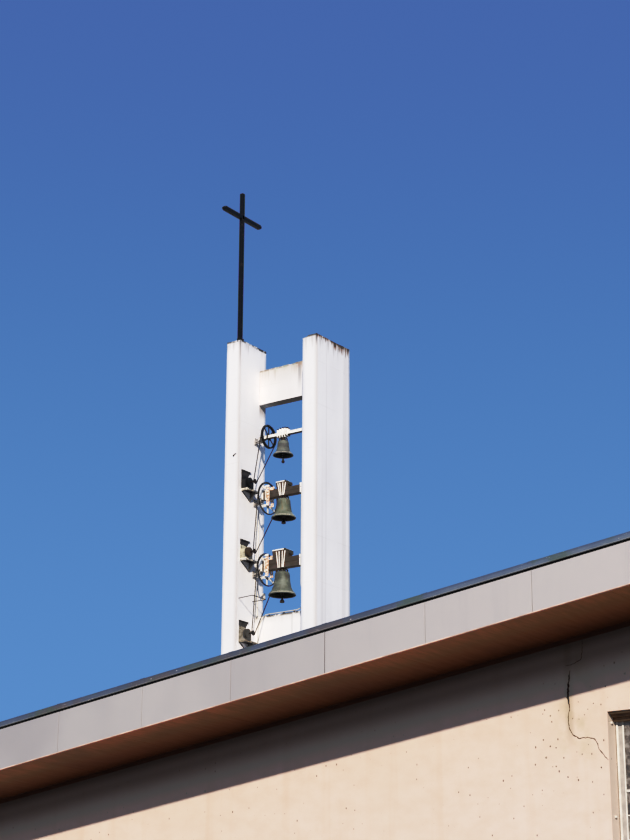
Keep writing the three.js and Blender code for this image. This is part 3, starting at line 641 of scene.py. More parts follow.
def bolts_at(name, finish, points, radius, height, sides=6, washer=None):
    """Bolt heads or rivets, each a place and the way its head points."""
    mesh = bpy.data.meshes.new(name)
    mesh.from_pydata([point for point, _ in points], [], [])
    attribute = mesh.attributes.new("aim", "FLOAT_VECTOR", "POINT")
    attribute.data.foreach_set("vector", [value for _, way in points for value in way])
    return grown(
        name, bolt_tree, mesh, Radius=radius, Height=height, Sides=sides, Washer=washer or radius * 1.5,
        Finish=finish,
    )


rivets = []
for side in (-1, 1):
    for joint in range(12):
        x = -10.45 + PANEL * joint
        for dx in (-0.035, 0.035):
            for height, slope in ((0.04, SOFFIT_SLOPE), (FASCIA_HEIGHT - 0.04, ROOF_SLOPE)):
                place_of_rivet = (x + dx, side * FASCIA_Y, SOFFIT_BASE + height + slope * (x + dx))
                rivets.append((place_of_rivet, (0, side, 0)))
set_on(bolts_at("fascia_rivets", cassette, rivets, 0.006, 0.002, 12), "church", "fascia_panel")


# The capping: folded slate-grey aluminium that hooks over the roof's edge, in
# lengths joined by cover straps, scuffed and dusty on its front.
CAPPING_LOW, CAPPING_TOP, CAPPING_WIDTH = SOFFIT_BASE + 0.742, SOFFIT_BASE + 0.845, 0.32
ROOF_X, ROOF_Y = 12.35, 7.88
slate, shader, place = new_finish("capping_paint", roughness=0.7, specular=0.25)
up = place.z - ROOF_SLOPE * place.x - CAPPING_LOW
grey = place.cloud(1.4, 4).ramp(0.3, 0.7).tint((110, 119, 134), (122, 130, 144))
grey = grey.coat(place.stretched(1, 1, 0.3).cloud(0.9).ramp(0.5, 0.62) * 0.5, (134, 116, 108))
grey = grey.coat(place.x.ramp(5.6, 3.4) * 0.3, (84, 92, 104))
grey = grey.coat(place.x.ramp(3.6, 5.8) * 0.1, (142, 156, 172))
grey = grey.coat(up.ramp(0.045, 0.09) * 0.5, (86, 98, 118))
grey = grey.coat(up.ramp(0.024, 0.008) * 0.35, (176, 172, 166))
scuffs = place.stretched(0.6, 0.6, 5).cloud(7, 5, 0.7).ramp(0.60, 0.74)
grey = grey.coat(scuffs * 0.5, (190, 188, 184))
grey = grey.coat(place.cloud(2.2).ramp(0.52, 0.70) * 0.6, (104, 118, 108))
specks = place.stretched(1, 1, 3).cloud(9, 2, 0.7).ramp(0.70, 0.74)
grey = grey.coat(specks, (232, 226, 220))
feed(shader, base=grey, rough=0.6 + place.cloud(6) * 0.25, normal=place.cloud(2.2, 2).bump(0.25, 0.006))


def swept_ring(work, profile):
    """A folded sheet led round the roof's edge. Each point is inset, height."""
    rings = []
    for inset, height in profile:
        corners = [(sx * (ROOF_X - inset), sy * (ROOF_Y - inset)) for sx, sy in SQUARE]
        rings.append([work.verts.new((x, y, height + ROOF_SLOPE * x)) for x, y in corners])
    skinned(work, rings, loop=True)


work = bmesh.new()
swept_ring(work, [
    (0.002, CAPPING_LOW + 0.004), (0.002, CAPPING_TOP - 0.009), (0.004, CAPPING_TOP - 0.004),
    (0.009, CAPPING_TOP - 0.002), (CAPPING_WIDTH - 0.008, CAPPING_TOP - 0.002),
    (CAPPING_WIDTH - 0.001, CAPPING_TOP - 0.008), (CAPPING_WIDTH, CAPPING_TOP - 0.052),
    (CAPPING_WIDTH - 0.003, CAPPING_TOP - 0.052), (CAPPING_WIDTH - 0.005, CAPPING_TOP - 0.012),
    (0.011, CAPPING_TOP - 0.006), (0.005, CAPPING_TOP - 0.012), (0.005, CAPPING_LOW + 0.006),
    (0.012, CAPPING_LOW), (0.008, CAPPING_LOW - 0.001),
])
built(work, "capping_sheet", slate, "capping_metal", "roof_capping")
straps = []
for side in (-1, 1):
    face = side * (ROOF_Y - 0.0012)
    straps.append(row_of(
        "strap_face", slate, 12, (-10.45, face, (CAPPING_LOW + CAPPING_TOP) / 2), (PANEL, 0, 0),
        (0.1, 0.0024, CAPPING_TOP - CAPPING_LOW - 0.004), ROOF_SLOPE,
    ))
    straps.append(row_of(
        "strap_top", slate, 12, (-10.45, side * (ROOF_Y - 0.155), CAPPING_TOP - 0.0012), (PANEL, 0, 0),
        (0.1, 0.306, 0.0024), ROOF_SLOPE,
    ))
set_on(joined("capping_straps", *straps), "church", "capping_metal")


# The roof covering: long sheets of weathered zinc whose standing seams run down
# the slope, about half a metre apart.
zinc, shader, place = new_finish("roof_zinc", roughness=0.65, metallic=0.25, specular=0.35)
weather = place.stretched(0.3, 2, 1).cloud(1.2, 5).ramp(0.3, 0.7)
feed(
    shader, base=weather.tint((124, 129, 132), (148, 151, 152)), rough=0.58 + weather * 0.2,
    normal=place.stretched(0.4, 2, 1).cloud(1.4, 2).bump(0.25, 0.01),
)
wear(zinc, "roof_covering")
SEAM_PITCH = 0.54
seams = row_of(
    "roof_seams", zinc, 27, (0, -13 * SEAM_PITCH, SOFFIT_BASE + 0.79 + 0.014), (0, SEAM_PITCH, 0),
    (24.0, 0.012, 0.028), ROOF_SLOPE,
)
set_on(eased(seams, 0.003), "church", "roof_sheet")


# The windows: a white fixed frame round a recess, greyer as painted shade, and a
# glazing bead, one stout rail, thin bars below it, and a dark stepped lining
# under the lintel.
HALF_WIDTH, SILL_HEIGHT = 0.8, 2.2
RAIL_DROP, BAR_DROP, BAR_PITCH = 1.2, 1.57, 0.37
frame_white = mottled(
    "window_paint", (226, 224, 219), (208, 205, 200), 6, 4, (0.35, 0.7), (0.38, 0.2), specular=0.4,
    bump=(50, 3, 0.15, 0.001),
)
recess_shade_grey = mottled(
    "window_recess_paint", (190, 186, 182), (170, 166, 164), 8, 4, (0.3, 0.7), 0.6, specular=0.3,
)
lining_brown = mottled("head_lining_paint", (88, 60, 40), (124, 90, 64), 9, 4, (0.3, 0.7), 0.5, specular=0.35)
glass, shader, place = new_finish("obscured_glass", roughness=0.25, specular=0.5)
mottle = place.cloud(3.2, 5, 0.62)
pebbles = place.cloud(11, 4, 0.6)
murk = mottle.ramp(0.38, 0.62).tint((104, 100, 98), (146, 142, 139))
murk = murk.coat(pebbles.ramp(0.5, 0.66) * 0.4, (190, 187, 184))
murk = murk.coat(pebbles.ramp(0.47, 0.36) * 0.5, (70, 65, 62))
feed(shader, base=murk, rough=0.18 + mottle * 0.3, normal=(pebbles + mottle * 0.5).bump(0.35, 0.006))


def add_block(work, low, high, ease=0.0, turn=None):
    """A box between two opposite corners, turned if wished, its edges eased."""
    low, high = zip(*map(sorted, zip(low, high)))
    corners = bmesh.ops.create_cube(work, size=1.0)["verts"]
    for corner in corners:
        spot = Vector(low[k] + (corner.co[k] + 0.5) * (high[k] - low[k]) for k in range(3))
        corner.co = turn @ spot if turn else spot
    if ease:
        edges = {edge for corner in corners for edge in corner.link_edges}
        bmesh.ops.bevel(work, geom=list(edges), offset=ease, segments=2, affect="EDGES", profile=0.6)


def window(name, origin, along, inward, head):
    """One window in its opening, laid out along the wall, inward and up."""
    way = Matrix((along, inward, (0, 0, 1))).transposed().to_4x4()
    turn = Matrix.Translation(origin) @ way

    def ring(work, outer, inner, near, far, ease):
        u, v = HALF_WIDTH - outer, HALF_WIDTH - inner
        low_out, low_in, top_out, top_in = SILL_HEIGHT + outer, SILL_HEIGHT + inner, head - 0.11, head - 0.13
        add_block(work, (-u, near, low_out), (-v, far, top_out), ease, turn)
        add_block(work, (v, near, low_out), (u, far, top_out), ease, turn)
        add_block(work, (-v, near, low_out), (v, far, low_in), ease, turn)
        add_block(work, (-v, near, top_in), (v, far, top_out), ease, turn)

    work = bmesh.new()
    ring(work, 0.012, 0.044, 0.25, 0.319, 0.003)
    ring(work, 0.112, 0.139, 0.262, 0.305, 0.004)
    inside = HALF_WIDTH - 0.139
    rail = head - RAIL_DROP
    add_block(work, (-inside, 0.254, rail - 0.02), (inside, 0.31, rail + 0.02), 0.003, turn)
    bars = int((head - BAR_DROP - SILL_HEIGHT - 0.2) / BAR_PITCH) + 1
    for bar in range(bars):
        z = head - BAR_DROP - BAR_PITCH * bar
        add_block(work, (-inside, 0.262, z - 0.01), (inside, 0.3, z + 0.01), 0.003, turn)
    for z in (head - 0.156, head - 1.595):
        for side in (-1, 1):
            ends = (side * HALF_WIDTH, 0.1, z - 0.018), (side * (HALF_WIDTH - 0.028), 0.15, z + 0.014)
            add_block(work, *ends, 0.002, turn)
    built(work, name + "_white_frame", frame_white, "window_frame", name + "_frame")
    work = bmesh.new()
    # The recess ring and the sill board take the grey: painted shade on white paint.
    ring(work, 0.044, 0.112, 0.276, 0.316, 0.002)
    full = HALF_WIDTH - 0.001
    add_block(work, (-full, -0.028, SILL_HEIGHT + 0.001), (full, 0.249, SILL_HEIGHT + 0.011), 0.002, turn)
    built(work, name + "_recess", recess_shade_grey, "window_frame")
    work = bmesh.new()
    for near, far, drop in ((0.035, 0.105, 0.035), (0.105, 0.175, 0.072), (0.175, 0.319, 0.133)):
        add_block(work, (-full, near, head - drop), (full, far, head - 0.001), 0.003, turn)
    ring(work, 0.0005, 0.013, 0.262, 0.31, 0.001)
    built(work, name + "_head_lining", lining_brown, "window_frame")
    wear(glass, name + "_glass")


WINDOW_X, LOW_HEAD, HIGH_HEAD, END_HEAD = 7.71, 4.7557, 6.7603, 7.1243
for wall, side in (("front", -1), ("rear", 1)):
    for end, x, head in (("low", -WINDOW_X, LOW_HEAD), ("high", WINDOW_X, HIGH_HEAD)):
        window(f"{wall}_{end}_window", (x, side * WALL_Y, 0), (-side, 0, 0), (0, -side, 0), head)
window("end_window", (WALL_X, 0, 0), (0, 1, 0), (-1, 0, 0), END_HEAD)


# The entrance in the low end: two oiled oak leaves of upright boards on rails,
# hung on three hinges each, with a kicking plate and a long pull.
DOOR_FACE, LEAF_OUTER, BOARD = -10.39, 1.0097, 0.165
oak, shader, place = new_finish("door_oak", roughness=0.5, specular=0.4)
board_number = (place.y / BOARD).floor()
board_tone = board_number.node("ShaderNodeTexWhiteNoise", {"W": board_number}, noise_dimensions="1D")
rings = place.stretched(9, 14, 0.7).cloud(3, 5, 0.6)
wood = rings.ramp(0.3, 0.7).tint((112, 72, 42), (82, 50, 28))
wood = wood.coat(board_tone * 0.4, (136, 92, 56))
feed(shader, base=wood, rough=0.42 + rings * 0.2, normal=rings.bump(0.3, 0.002))
door_steel, shader, place = new_finish("brushed_steel", roughness=0.35, metallic=0.9)
brushed = place.stretched(2, 2, 60).cloud(6, 2)
feed(shader, base=brushed.tint((150, 150, 150), (178, 177, 174)), rough=0.28 + brushed * 0.2)
wear(oak, "door_frame")
LEAF_LOW, LEAF_HIGH = 0.2255, 2.4895


def leaf_block(work, xs, ys, zs, ease):
    """A block whose depth is measured from the leaf's face."""
    add_block(work, (DOOR_FACE + xs[0], ys[0], zs[0]), (DOOR_FACE + xs[1], ys[1], zs[1]), ease)


for side, leaf in ((-1, "door_leaf_front"), (1, "door_leaf_rear")):
    work = bmesh.new()
    for board in range(6):
        near = 0.0006 + board * (LEAF_OUTER - 0.001) / 6
        far = near + (LEAF_OUTER - 0.001) / 6 - 0.004
        leaf_block(work, (0.008, 0.052), (side * near, side * far), (LEAF_LOW, LEAF_HIGH), 0.004)
    for z in (LEAF_LOW + 0.002, 1.16, LEAF_HIGH - 0.142):
        leaf_block(work, (0.001, 0.0599), (side * 0.01, side * (LEAF_OUTER - 0.01)), (z, z + 0.14), 0.003)
    built(work, leaf + "_boards", oak, "door_wood", leaf)
    work = bmesh.new()
    plate = side * 0.03, side * (LEAF_OUTER - 0.03)
    leaf_block(work, (-0.002, 0.001), plate, (LEAF_LOW + 0.02, LEAF_LOW + 0.125), 0.0005)
    for z in (0.42, 1.3, 2.18):
        hinge = side * (LEAF_OUTER - 0.004), side * (LEAF_OUTER + 0.018)
        leaf_block(work, (-0.014, 0.002), hinge, (z, z + 0.12), 0.006)
    pull = side * 0.11
    leaf_block(work, (-0.062, -0.04), (pull - 0.016, pull + 0.016), (0.95, 1.55), 0.008)
    for z in (1.02, 1.45):
        leaf_block(work, (-0.045, 0.004), (pull - 0.009, pull + 0.009), (z, z + 0.018), 0.003)
    built(work, leaf + "_ironwork", door_steel, "door_wood")


# The tower: two slabs of concrete cast on site and painted white, tied by a beam
# and a low wall. Their top edges have crumbled, and rain has drawn dark runs
# and rust down from them.
TOWER_FRONT, TIE_FRONT, TIE_BACK = 7.8803, 8.8103, 9.1103
LEFT_FACE, LEFT_WALL, RIGHT_WALL, RIGHT_FACE = -11.044, -11.0437, -8.8603, -8.86


def limewash(name, low, high, runs):
    """White paint on concrete, dirty at its top and darker at one arris."""
    finish, shader, place = new_finish(name, roughness=0.8, specular=0.25)
    below = high[2] - place.z
    broad = place.stretched(1, 1, 0.35).cloud(1.3, 4)
    white = broad.ramp(0.35, 0.7).tint((247, 245, 245), (240, 238, 238))
    lift = place.z / 1.25
    seam = lift.math("FRACT", lift).ramp(0.03, 0.0) * place.cloud(2, 2).ramp(0.4, 0.6)
    white = white.coat(seam * 0.2, (206, 202, 196))
    reach = place.stretched(1, 1, 0.03).cloud(9, 3, 0.6).ramp(0.42, 0.8) * runs
    white = white.coat((below - reach).ramp(0.25, -0.15) * 0.42, (156, 150, 142))
    arris = place.x.near(high[0], 0.12, 0.0) * place.y.near(low[1], 0.12, 0.0)
    white = white.coat(arris * 0.6, (182, 178, 178))
    stain = place.cloud(5.5, 4)
    crust = below.ramp(0.085, 0.03) * stain.ramp(0.42, 0.5)
    white = white.coat(crust * 0.8, (62, 58, 48))
    specks = place.cloud(26).ramp(0.68, 0.74) * place.cloud(1.7, 2).ramp(0.45, 0.6)
    white = white.coat(specks * 0.4, (150, 138, 122))
    feed(shader, normal=(place.cloud(3.5, 5, 0.6) + seam * 0.4 + place.cloud(70, 2) * 0.15).bump(0.3, 0.012))
    return finish, shader, place, white, below


def cast_block(work, low, high, crumble, seed, chip=None, chamfer=0.003):
    """A cast block with a crumbled top edge, and one corner chipped if wished."""
    corners = [(low[0], low[1]), (high[0], low[1]), (high[0], high[1]), (low[0], high[1])]
    outline = []
    for k, (start, end) in enumerate(zip(corners, corners[1:] + corners[:1])):
        start, end = Vector(start), Vector(end)
        length = (end - start).length
        steps = max(2, round(length / 0.1))
        for step in range(steps + 1):
            spot = start + (end - start) * (chamfer + (length - 2 * chamfer) * step / steps) / length
            outline.append((spot, Vector((end - start).yx) / length * Vector((-1, 1))))
    levels = [(low[2], 0.0)]
    z = low[2] + 1.2
    while z < high[2] - 0.6:
        levels.append((z, 0.06))
        z += 1.2
    levels += [(high[2] - drop, share) for drop, share in
               ((0.3, 0.1), (0.16, 0.2), (0.09, 0.35), (0.045, 0.6), (0.02, 0.85), (0.004, 1.3))]
    rings = []
    for z, share in levels:
        ring = []
        for spot, inward in outline:
            rough = noise.noise(Vector((spot.x * 5 + seed, spot.y * 5, z * 5))) + 0.4
            fine = noise.noise(Vector((spot.x * 17, spot.y * 17 + seed, z * 17))) + 0.5
            eaten = crumble * share * max(0.0, rough * 0.6 + fine * 0.5)
            sunk = crumble * 0.8 * max(0.0, rough) if share > 1 else 0.0
            if chip and z > high[2] - 0.1:
                sunk += chip[3] * max(0.0, 1 - ((spot - Vector(chip[:2])).length / chip[2]) ** 2) * share
            ring.append(work.verts.new((*(spot + inward * eaten), z - sunk)))
        rings.append(ring)
    middle = Vector(((low[0] + high[0]) / 2, (low[1] + high[1]) / 2))
    lid = []
    for vert in rings[-1]:
        flat = middle + (vert.co.xy - middle) * 0.72
        lid.append(work.verts.new((flat.x, flat.y, high[2] - 0.006 - 0.004 * noise.noise(vert.co * 3))))
    skinned(work, rings + [lid])


TOWER_BLOCKS = {
    "left_pylon": ((-11.526, TOWER_FRONT, 0), (LEFT_FACE, 9.1283, 21.20), 0.022, 0.4, None),
    "right_pylon": (
        (RIGHT_FACE, TOWER_FRONT, 0), (-8.38, 9.5083, 20.81), 0.012, 0.6,
        (RIGHT_FACE, TOWER_FRONT, 0.17, 0.05),
    ),
    "top_beam": ((LEFT_WALL, TIE_FRONT, 19.45), (RIGHT_WALL, TIE_BACK, 20.508), 0.022, 0.35, None),
    "lower_wall": ((LEFT_WALL, TIE_FRONT, 0), (RIGHT_WALL, TIE_BACK, 13.26), 0.005, 0.1, None),
}
for seed, (name, (low, high, crumble, runs, chip)) in enumerate(TOWER_BLOCKS.items()):
    work = bmesh.new()
    cast_block(work, low, high, crumble, seed * 7.3, chip)
    paint, shader, place, white, below = limewash(name + "_paint", low, high, runs)
    broken = place.cloud(11, 4)
    nook = place.x.near(high[0], 0.05, 0.01) * place.y.near(low[1], 0.05, 0.01)
    if name == "left_pylon":
        white = white.coat(nook * below.ramp(1.0, 0.0) * 0.6, (120, 116, 114))
        tar = below.ramp(0.10, 0.06) * (place.y - low[1]).ramp(0.5, 0.95) * broken.ramp(0.3, 0.45)
        white = white.coat(tar * 0.9, (42, 40, 38))
        # Painted shadow of the beam on the pylon's side: a brown-grey patch just under it.
        behind = place.y.ramp(TIE_FRONT, TIE_FRONT + 0.05)
        damp_and_beam_shadow = behind * place.z.ramp(19.0, 19.4) * place.z.ramp(19.47, 19.45)
        white = white.coat(damp_and_beam_shadow * 0.6, (128, 112, 98))
    if name == "right_pylon":
        flank = place.x.near(high[0], 0.03, 0.0)
        back = (place.y - low[1]).ramp(0.3, 1.6)
        streaks = place.stretched(1, 1, 0.03).cloud(15, 3, 0.6)
        white = white.coat(nook * below.ramp(0.45, 0.0) * 0.85, (66, 64, 70))
        rust_runs = (below - streaks.ramp(0.36, 0.66) * (0.14 + back * 0.22)).ramp(0.05, -0.04)
        rust = broken.ramp(0.4, 0.6).tint((150, 96, 54), (104, 84, 66))
        white = white.coat(rust_runs * flank * 0.8, rust)
        soot_runs = (below - streaks.ramp(0.44, 0.72) * (0.10 + back * 0.2)).ramp(0.03, -0.02)
        white = white.coat(soot_runs * flank * 0.85, (52, 44, 42))
        grey_bands = place.stretched(1, 1, 0.01).cloud(3.4, 2).ramp(0.5, 0.62) * flank
        white = white.coat(grey_bands * 0.3, (206, 202, 198))
    if name == "top_beam":
        white = white.coat(below.ramp(0.75, 0.0) * 0.3 + 0.15, (190, 177, 162))
        damp_and_beam_shadow = place.x.near(-9.62, 0.09, 0.02) * below.ramp(1.0, 0.3)
        white = white.coat(damp_and_beam_shadow * 0.5, (130, 132, 136))
        smear = place.x.near(-9.56, 0.22, 0.05) * broken.ramp(0.40, 0.55) * below.ramp(0.22, 0.05)
        white = white.coat(smear * 0.7, (176, 126, 108))
        moss = place.stretched(1, 1, 0.2).cloud(6).ramp(0.5, 0.62) * below.ramp(0.2, 0.03)
        white = white.coat(moss * 0.35, (186, 196, 180))
        # Painted shade under the beam: its underside is dark brown-grey, darker to the right.
        under = (place.z - low[2]).ramp(0.006, 0.001) * (place.x - low[0]).ramp(-0.4, 0.7)
        white = white.coat(under * 0.95, (108, 98, 90))
    if name == "lower_wall":
        mark = place.x.near(-9.82, 0.035, 0.01) * below.ramp(1.6, 0.4)
        white = white.coat(mark * 0.3, (160, 156, 152))
    feed(shader, base=white)
    built(work, name + "_cast", paint, "white_concrete", name, smooth=50)


# Cables and irons on the tower: white conduits clipped down the left pylon and
# along the low wall, a guard of thin bar round them, a small box and a hook.
def add_rod(work, path, radius, sides=8):
    """A round bar along a path of points."""
    path = [Vector(point) for point in path]
    side, rings = None, []
    for k, point in enumerate(path):
        along = (path[min(k + 1, len(path) - 1)] - path[max(k - 1, 0)]).normalized()
        side = (side - along * side.dot(along)).normalized() if side else along.orthogonal().normalized()
        up = along.cross(side)
        turns = (2 * math.pi * corner / sides for corner in range(sides))
        spots = (point + radius * (math.cos(t) * side + math.sin(t) * up) for t in turns)
        rings.append([work.verts.new(spot) for spot in spots])
    skinned(work, rings)


def rounded(path, radius, steps=5):
    """A path whose corners are bent round instead of sharp."""
    path = [Vector(point) for point in path]
    bent = [path[0]]
    for before, corner, after in zip(path, path[1:], path[2:]):
        start = corner + (before - corner).normalized() * min(radius, (before - corner).length / 2)
        end = corner + (after - corner).normalized() * min(radius, (after - corner).length / 2)
        for step in range(steps + 1):
            t = step / steps
            bent.append(start.lerp(corner, t).lerp(corner.lerp(end, t), t))
    return bent + [path[-1]]


conduit_white = mottled("conduit_paint", (226, 222, 214), (196, 190, 180), 12, rough=0.5, specular=0.4)
work = bmesh.new()
for y, top in ((8.75, 16.5), (8.86, 16.35)):
    x = LEFT_FACE + 0.012
    add_rod(work, rounded([(x - 0.01, y, top), (x, y, top - 0.05), (x, y, 13.1)], 0.03), 0.011)
y = TIE_FRONT + 0.012
add_rod(work, rounded([
    (-8.876, 7.9, 16.4), (-8.876, 7.9, 13.62), (-8.876, 8.6, 13.5), (-9.36, y, 13.44), (-9.6, y, 13.291),
    (-10.74, y, 13.291), (-10.80, y - 0.028, 13.2), (-10.96, y - 0.028, 13.0), (-10.965, y - 0.028, 12.2),
], 0.12), 0.015)
built(work, "tower_conduits", conduit_white, "white_steel")
work = bmesh.new()
add_block(work, (LEFT_FACE + 0.001, 9.08, 13.8), (LEFT_FACE + 0.07, TIE_BACK + 0.03, 13.98), 0.008)
built(work, "junction_box", conduit_white, "white_steel")
iron = mottled("bare_iron", (40, 38, 37), (86, 56, 38), 22, 4, (0.45, 0.65), (0.45, 0.3), 0.4, 0.4)
work = bmesh.new()
for x in (-10.6, -10.1, -9.75):
    add_block(work, (x - 0.012, TIE_FRONT - 0.003, 13.24), (x + 0.012, TIE_FRONT + 0.03, 13.277), 0.002)
add_rod(work, rounded([
    (LEFT_FACE, 8.0, 13.64), (-10.57, 8.0, 13.66), (-10.57, 8.63, 13.66), (LEFT_FACE, 8.63, 13.66),
], 0.06), 0.009)
add_rod(work, rounded([
    (-11.13, TOWER_FRONT + 0.01, 17.775), (-11.13, TOWER_FRONT - 0.02, 17.775),
    (-11.17, TOWER_FRONT - 0.02, 17.765), (-11.2, TOWER_FRONT - 0.02, 17.74),
], 0.01), 0.008)
add_block(work, (-11.225, TOWER_FRONT - 0.028, 17.715), (-11.19, TOWER_FRONT + 0.002, 17.745), 0.006)
built(work, "guard_and_hook", iron, "bracket_steel")


# The cross: hollow steel bars welded at their crossing, painted black, on a
# plate that is bolted to the left pylon's top.
CROSS_X, CROSS_Y, CROSS_FOOT, CROSS_BAR = -11.28, 8.165, 21.2003, 0.112
cross_black = mottled(
    "cross_paint", (26, 26, 28), (48, 42, 40), 7, 4, (0.55, 0.72), (0.45, 0.25), 0.1, 0.35,
    (30, 3, 0.15, 0.002),
)


def add_prism(work, outline, low, high, axis):
    """An outline in the plane across an axis, drawn out between two places."""
    order = {"X": (2, 0, 1), "Y": (0, 2, 1), "Z": (0, 1, 2)}[axis]
    ends = []
    for place_on_axis in (low, high):
        spots = ((u, v, place_on_axis) for u, v in outline)
        ends.append([work.verts.new([spot[k] for k in order]) for spot in spots])
    skinned(work, ends)


work = bmesh.new()
half = CROSS_BAR / 2
add_block(
    work, (CROSS_X - half, CROSS_Y - half, CROSS_FOOT + 0.018),
    (CROSS_X + half, CROSS_Y + half, CROSS_FOOT + 4.72), 0.022,
)
arm_z, reach = CROSS_FOOT + 3.95, 0.895 - half
outline = [(CROSS_Y + side * (reach + half * math.cos(t)), arm_z + side * half * math.sin(t))
           for side in (1, -1) for t in (math.radians(a) for a in range(-90, 91, 15))]
arm = bmesh.new()
add_prism(arm, outline, CROSS_X - half, CROSS_X + half, "X")
rims = [edge for edge in arm.edges if abs(edge.verts[0].co.x - edge.verts[1].co.x) < 1e-6]
bmesh.ops.bevel(arm, geom=rims, offset=0.018, segments=2, affect="EDGES", profile=0.6)
arm_mesh = bpy.data.meshes.new("arm")
arm.to_mesh(arm_mesh)
work.from_mesh(arm_mesh)
arm.free()
add_block(
    work, (CROSS_X - 0.15, CROSS_Y - 0.15, CROSS_FOOT), (CROSS_X + 0.15, CROSS_Y + 0.15, CROSS_FOOT + 0.02),
    0.003,
)
for quarter in range(4):
    turn = Matrix.Translation((CROSS_X, CROSS_Y, CROSS_FOOT)) @ Matrix.Rotation(math.pi / 2 * quarter, 4, "Z")
    add_block(work, (0.05, -0.005, 0.018), (0.13, 0.005, 0.11), 0.001, turn)
built(work, "cross_bars", cross_black, "cross_steel", "cross")
anchors = [((CROSS_X + 0.115 * x, CROSS_Y + 0.115 * y, CROSS_FOOT + 0.02), (0, 0, 1)) for x, y in SQUARE]
set_on(bolts_at("cross_anchors", cross_black, anchors, 0.016, 0.02), "church", "cross_steel")


# The bearings: cast plummer blocks, each with two bolts, on an arm that is welded
# to a plate on the pylon. The right ones are white; the left ones are grey, a
# painted shade that keeps them no brighter than the pylon's side behind them.
YOKE_X, BELL_Y, YOKE_HALF, BOSS = -10.04, 8.68, 0.7, 0.03
AXES = {"bottom": 14.5, "middle": 16.56, "top": 18.38}
old_white, shader, place = new_finish("ironwork_white_paint", roughness=0.5, specular=0.35)
flaked = place.cloud(15, 4).ramp(0.64, 0.72)
dusty = place.cloud(5, 4).ramp(0.4, 0.7)
cream = dusty.tint((247, 245, 240), (228, 223, 213))
feed(
    shader, base=flaked.tint(cream, (110, 76, 52)), rough=0.42 + dusty * 0.3,
    normal=place.cloud(35).bump(0.2, 0.002),
)
bearing_shade_grey = mottled(
    "bearing_grey_paint", (198, 195, 193), (164, 158, 152), 9, 4, (0.35, 0.7), 0.65, specular=0.3,
)


def add_turned(work, profile, centre, axis="Z", sides=48, closed=False):
    """Turns a profile of radius and height round an axis through a centre."""
    turn = {
        "X": Matrix.Rotation(math.pi / 2, 3, "Y"), "Y": Matrix.Rotation(-math.pi / 2, 3, "X"),
        "Z": Matrix.Identity(3),
    }
    rings = []
    for radius, height in profile:
        turns = [2 * math.pi * k / sides for k in range(sides)] if radius > 1e-6 else [0.0]
        spots = (turn[axis] @ Vector((radius * math.cos(t), radius * math.sin(t), height)) for t in turns)
        rings.append([work.verts.new(Vector(centre) + spot) for spot in spots])
    for first, second in zip(rings, rings[1:] + (rings[:1] if closed else [])):
        for k in range(sides):
            n, m = len(first), len(second)
            corners = [first[k % n], first[(k + 1) % n], second[(k + 1) % m], second[k % m]]
            work.faces.new(list(dict.fromkeys(corners)))


def add_level(work, xs, half, zs, ease):
    """A block that reaches as far in front of the bells' axis as behind it."""
    add_block(work, (xs[0], BELL_Y - half, zs[0]), (xs[1], BELL_Y + half, zs[1]), ease)


BLOCK_HALF = 0.045
for bell, axis in AXES.items():
    for side, name, wall in ((-1, "left", LEFT_WALL), (1, "right", RIGHT_WALL)):
        near = YOKE_X + side * (YOKE_HALF + 0.06)
        middle = near + side * BLOCK_HALF
        work = bmesh.new()
        profile = [
            (BOSS + 0.002, BLOCK_HALF), (0.052, BLOCK_HALF), (0.056, BLOCK_HALF - 0.004),
            (0.06, BLOCK_HALF - 0.02),
        ]
        mirrored = [(radius, -height) for radius, height in profile]
        add_turned(work, mirrored + profile[::-1], (middle, BELL_Y, axis), "X", 32, closed=True)
        ends = middle - BLOCK_HALF + 0.012, middle + BLOCK_HALF - 0.012
        for flank in (-1, 1):
            near_y, far_y = BELL_Y + flank * 0.045, BELL_Y + flank * 0.1
            for low_z, high_z in ((-0.034, -0.006), (-0.070, -0.036)):
                add_block(work, (ends[0], near_y, axis + low_z), (ends[1], far_y, axis + high_z), 0.003)
        add_level(work, (near, wall), 0.045, (axis - 0.082, axis - 0.068), 0.002)
        add_level(work, (near, wall), 0.045, (axis - 0.13, axis - 0.118), 0.002)
        add_level(work, (near, wall), 0.006, (axis - 0.12, axis - 0.08), 0.001)
        add_level(work, (wall, wall - side * 0.016), 0.07, (axis - 0.18, axis + 0.03), 0.003)
        node = f"bearing_{name}_{bell}"
        block_finish = bearing_shade_grey if side < 0 else old_white
        built(work, node + "_block", block_finish, "white_steel", node)
        spots = [((middle, BELL_Y + flank * 0.08, axis - 0.006), (0, 0, 1)) for flank in (-1, 1)]
        face = wall - side * 0.016
        spots += [((face, BELL_Y + dy, axis + dz), (-side, 0, 0))
                  for dy in (-0.055, 0.055) for dz in (-0.165, 0.012)]
        set_on(bolts_at(node + "_bolts", iron, spots, 0.008, 0.01), "church", "bracket_steel")


# The yokes of the two lower bells: dark stained timber beams that carry a block
# with a metal cover, white on top, and a dark sheet over the block's right
# shoulder, dark as painted shade. White straps run in pairs down the block to the
# bell's crown, and a white band closes each end of the beam.
timber, shader, place = new_finish("yoke_timber", roughness=0.75, specular=0.3)
fibres = place.stretched(1.2, 12, 12).cloud(4, 5, 0.6)
plank = fibres.ramp(0.3, 0.7).tint((108, 88, 76), (82, 66, 58))
plank = plank.coat(place.cloud(2.5, 4).ramp(0.42, 0.66) * 0.5, (132, 120, 106))
plank = plank.coat(place.cloud(6).ramp(0.55, 0.7) * 0.5, (118, 84, 48))
feed(shader, base=plank, normal=fibres.bump(0.5, 0.004))
cap_shade_dark = mottled("cap_painted_shade", (66, 60, 54), (96, 88, 66), 9, 4, (0.35, 0.7), (0.45, 0.3), 0.1, 0.35)
BELL_X = {"bottom": -10.065, "middle": -10.04, "top": -10.078}
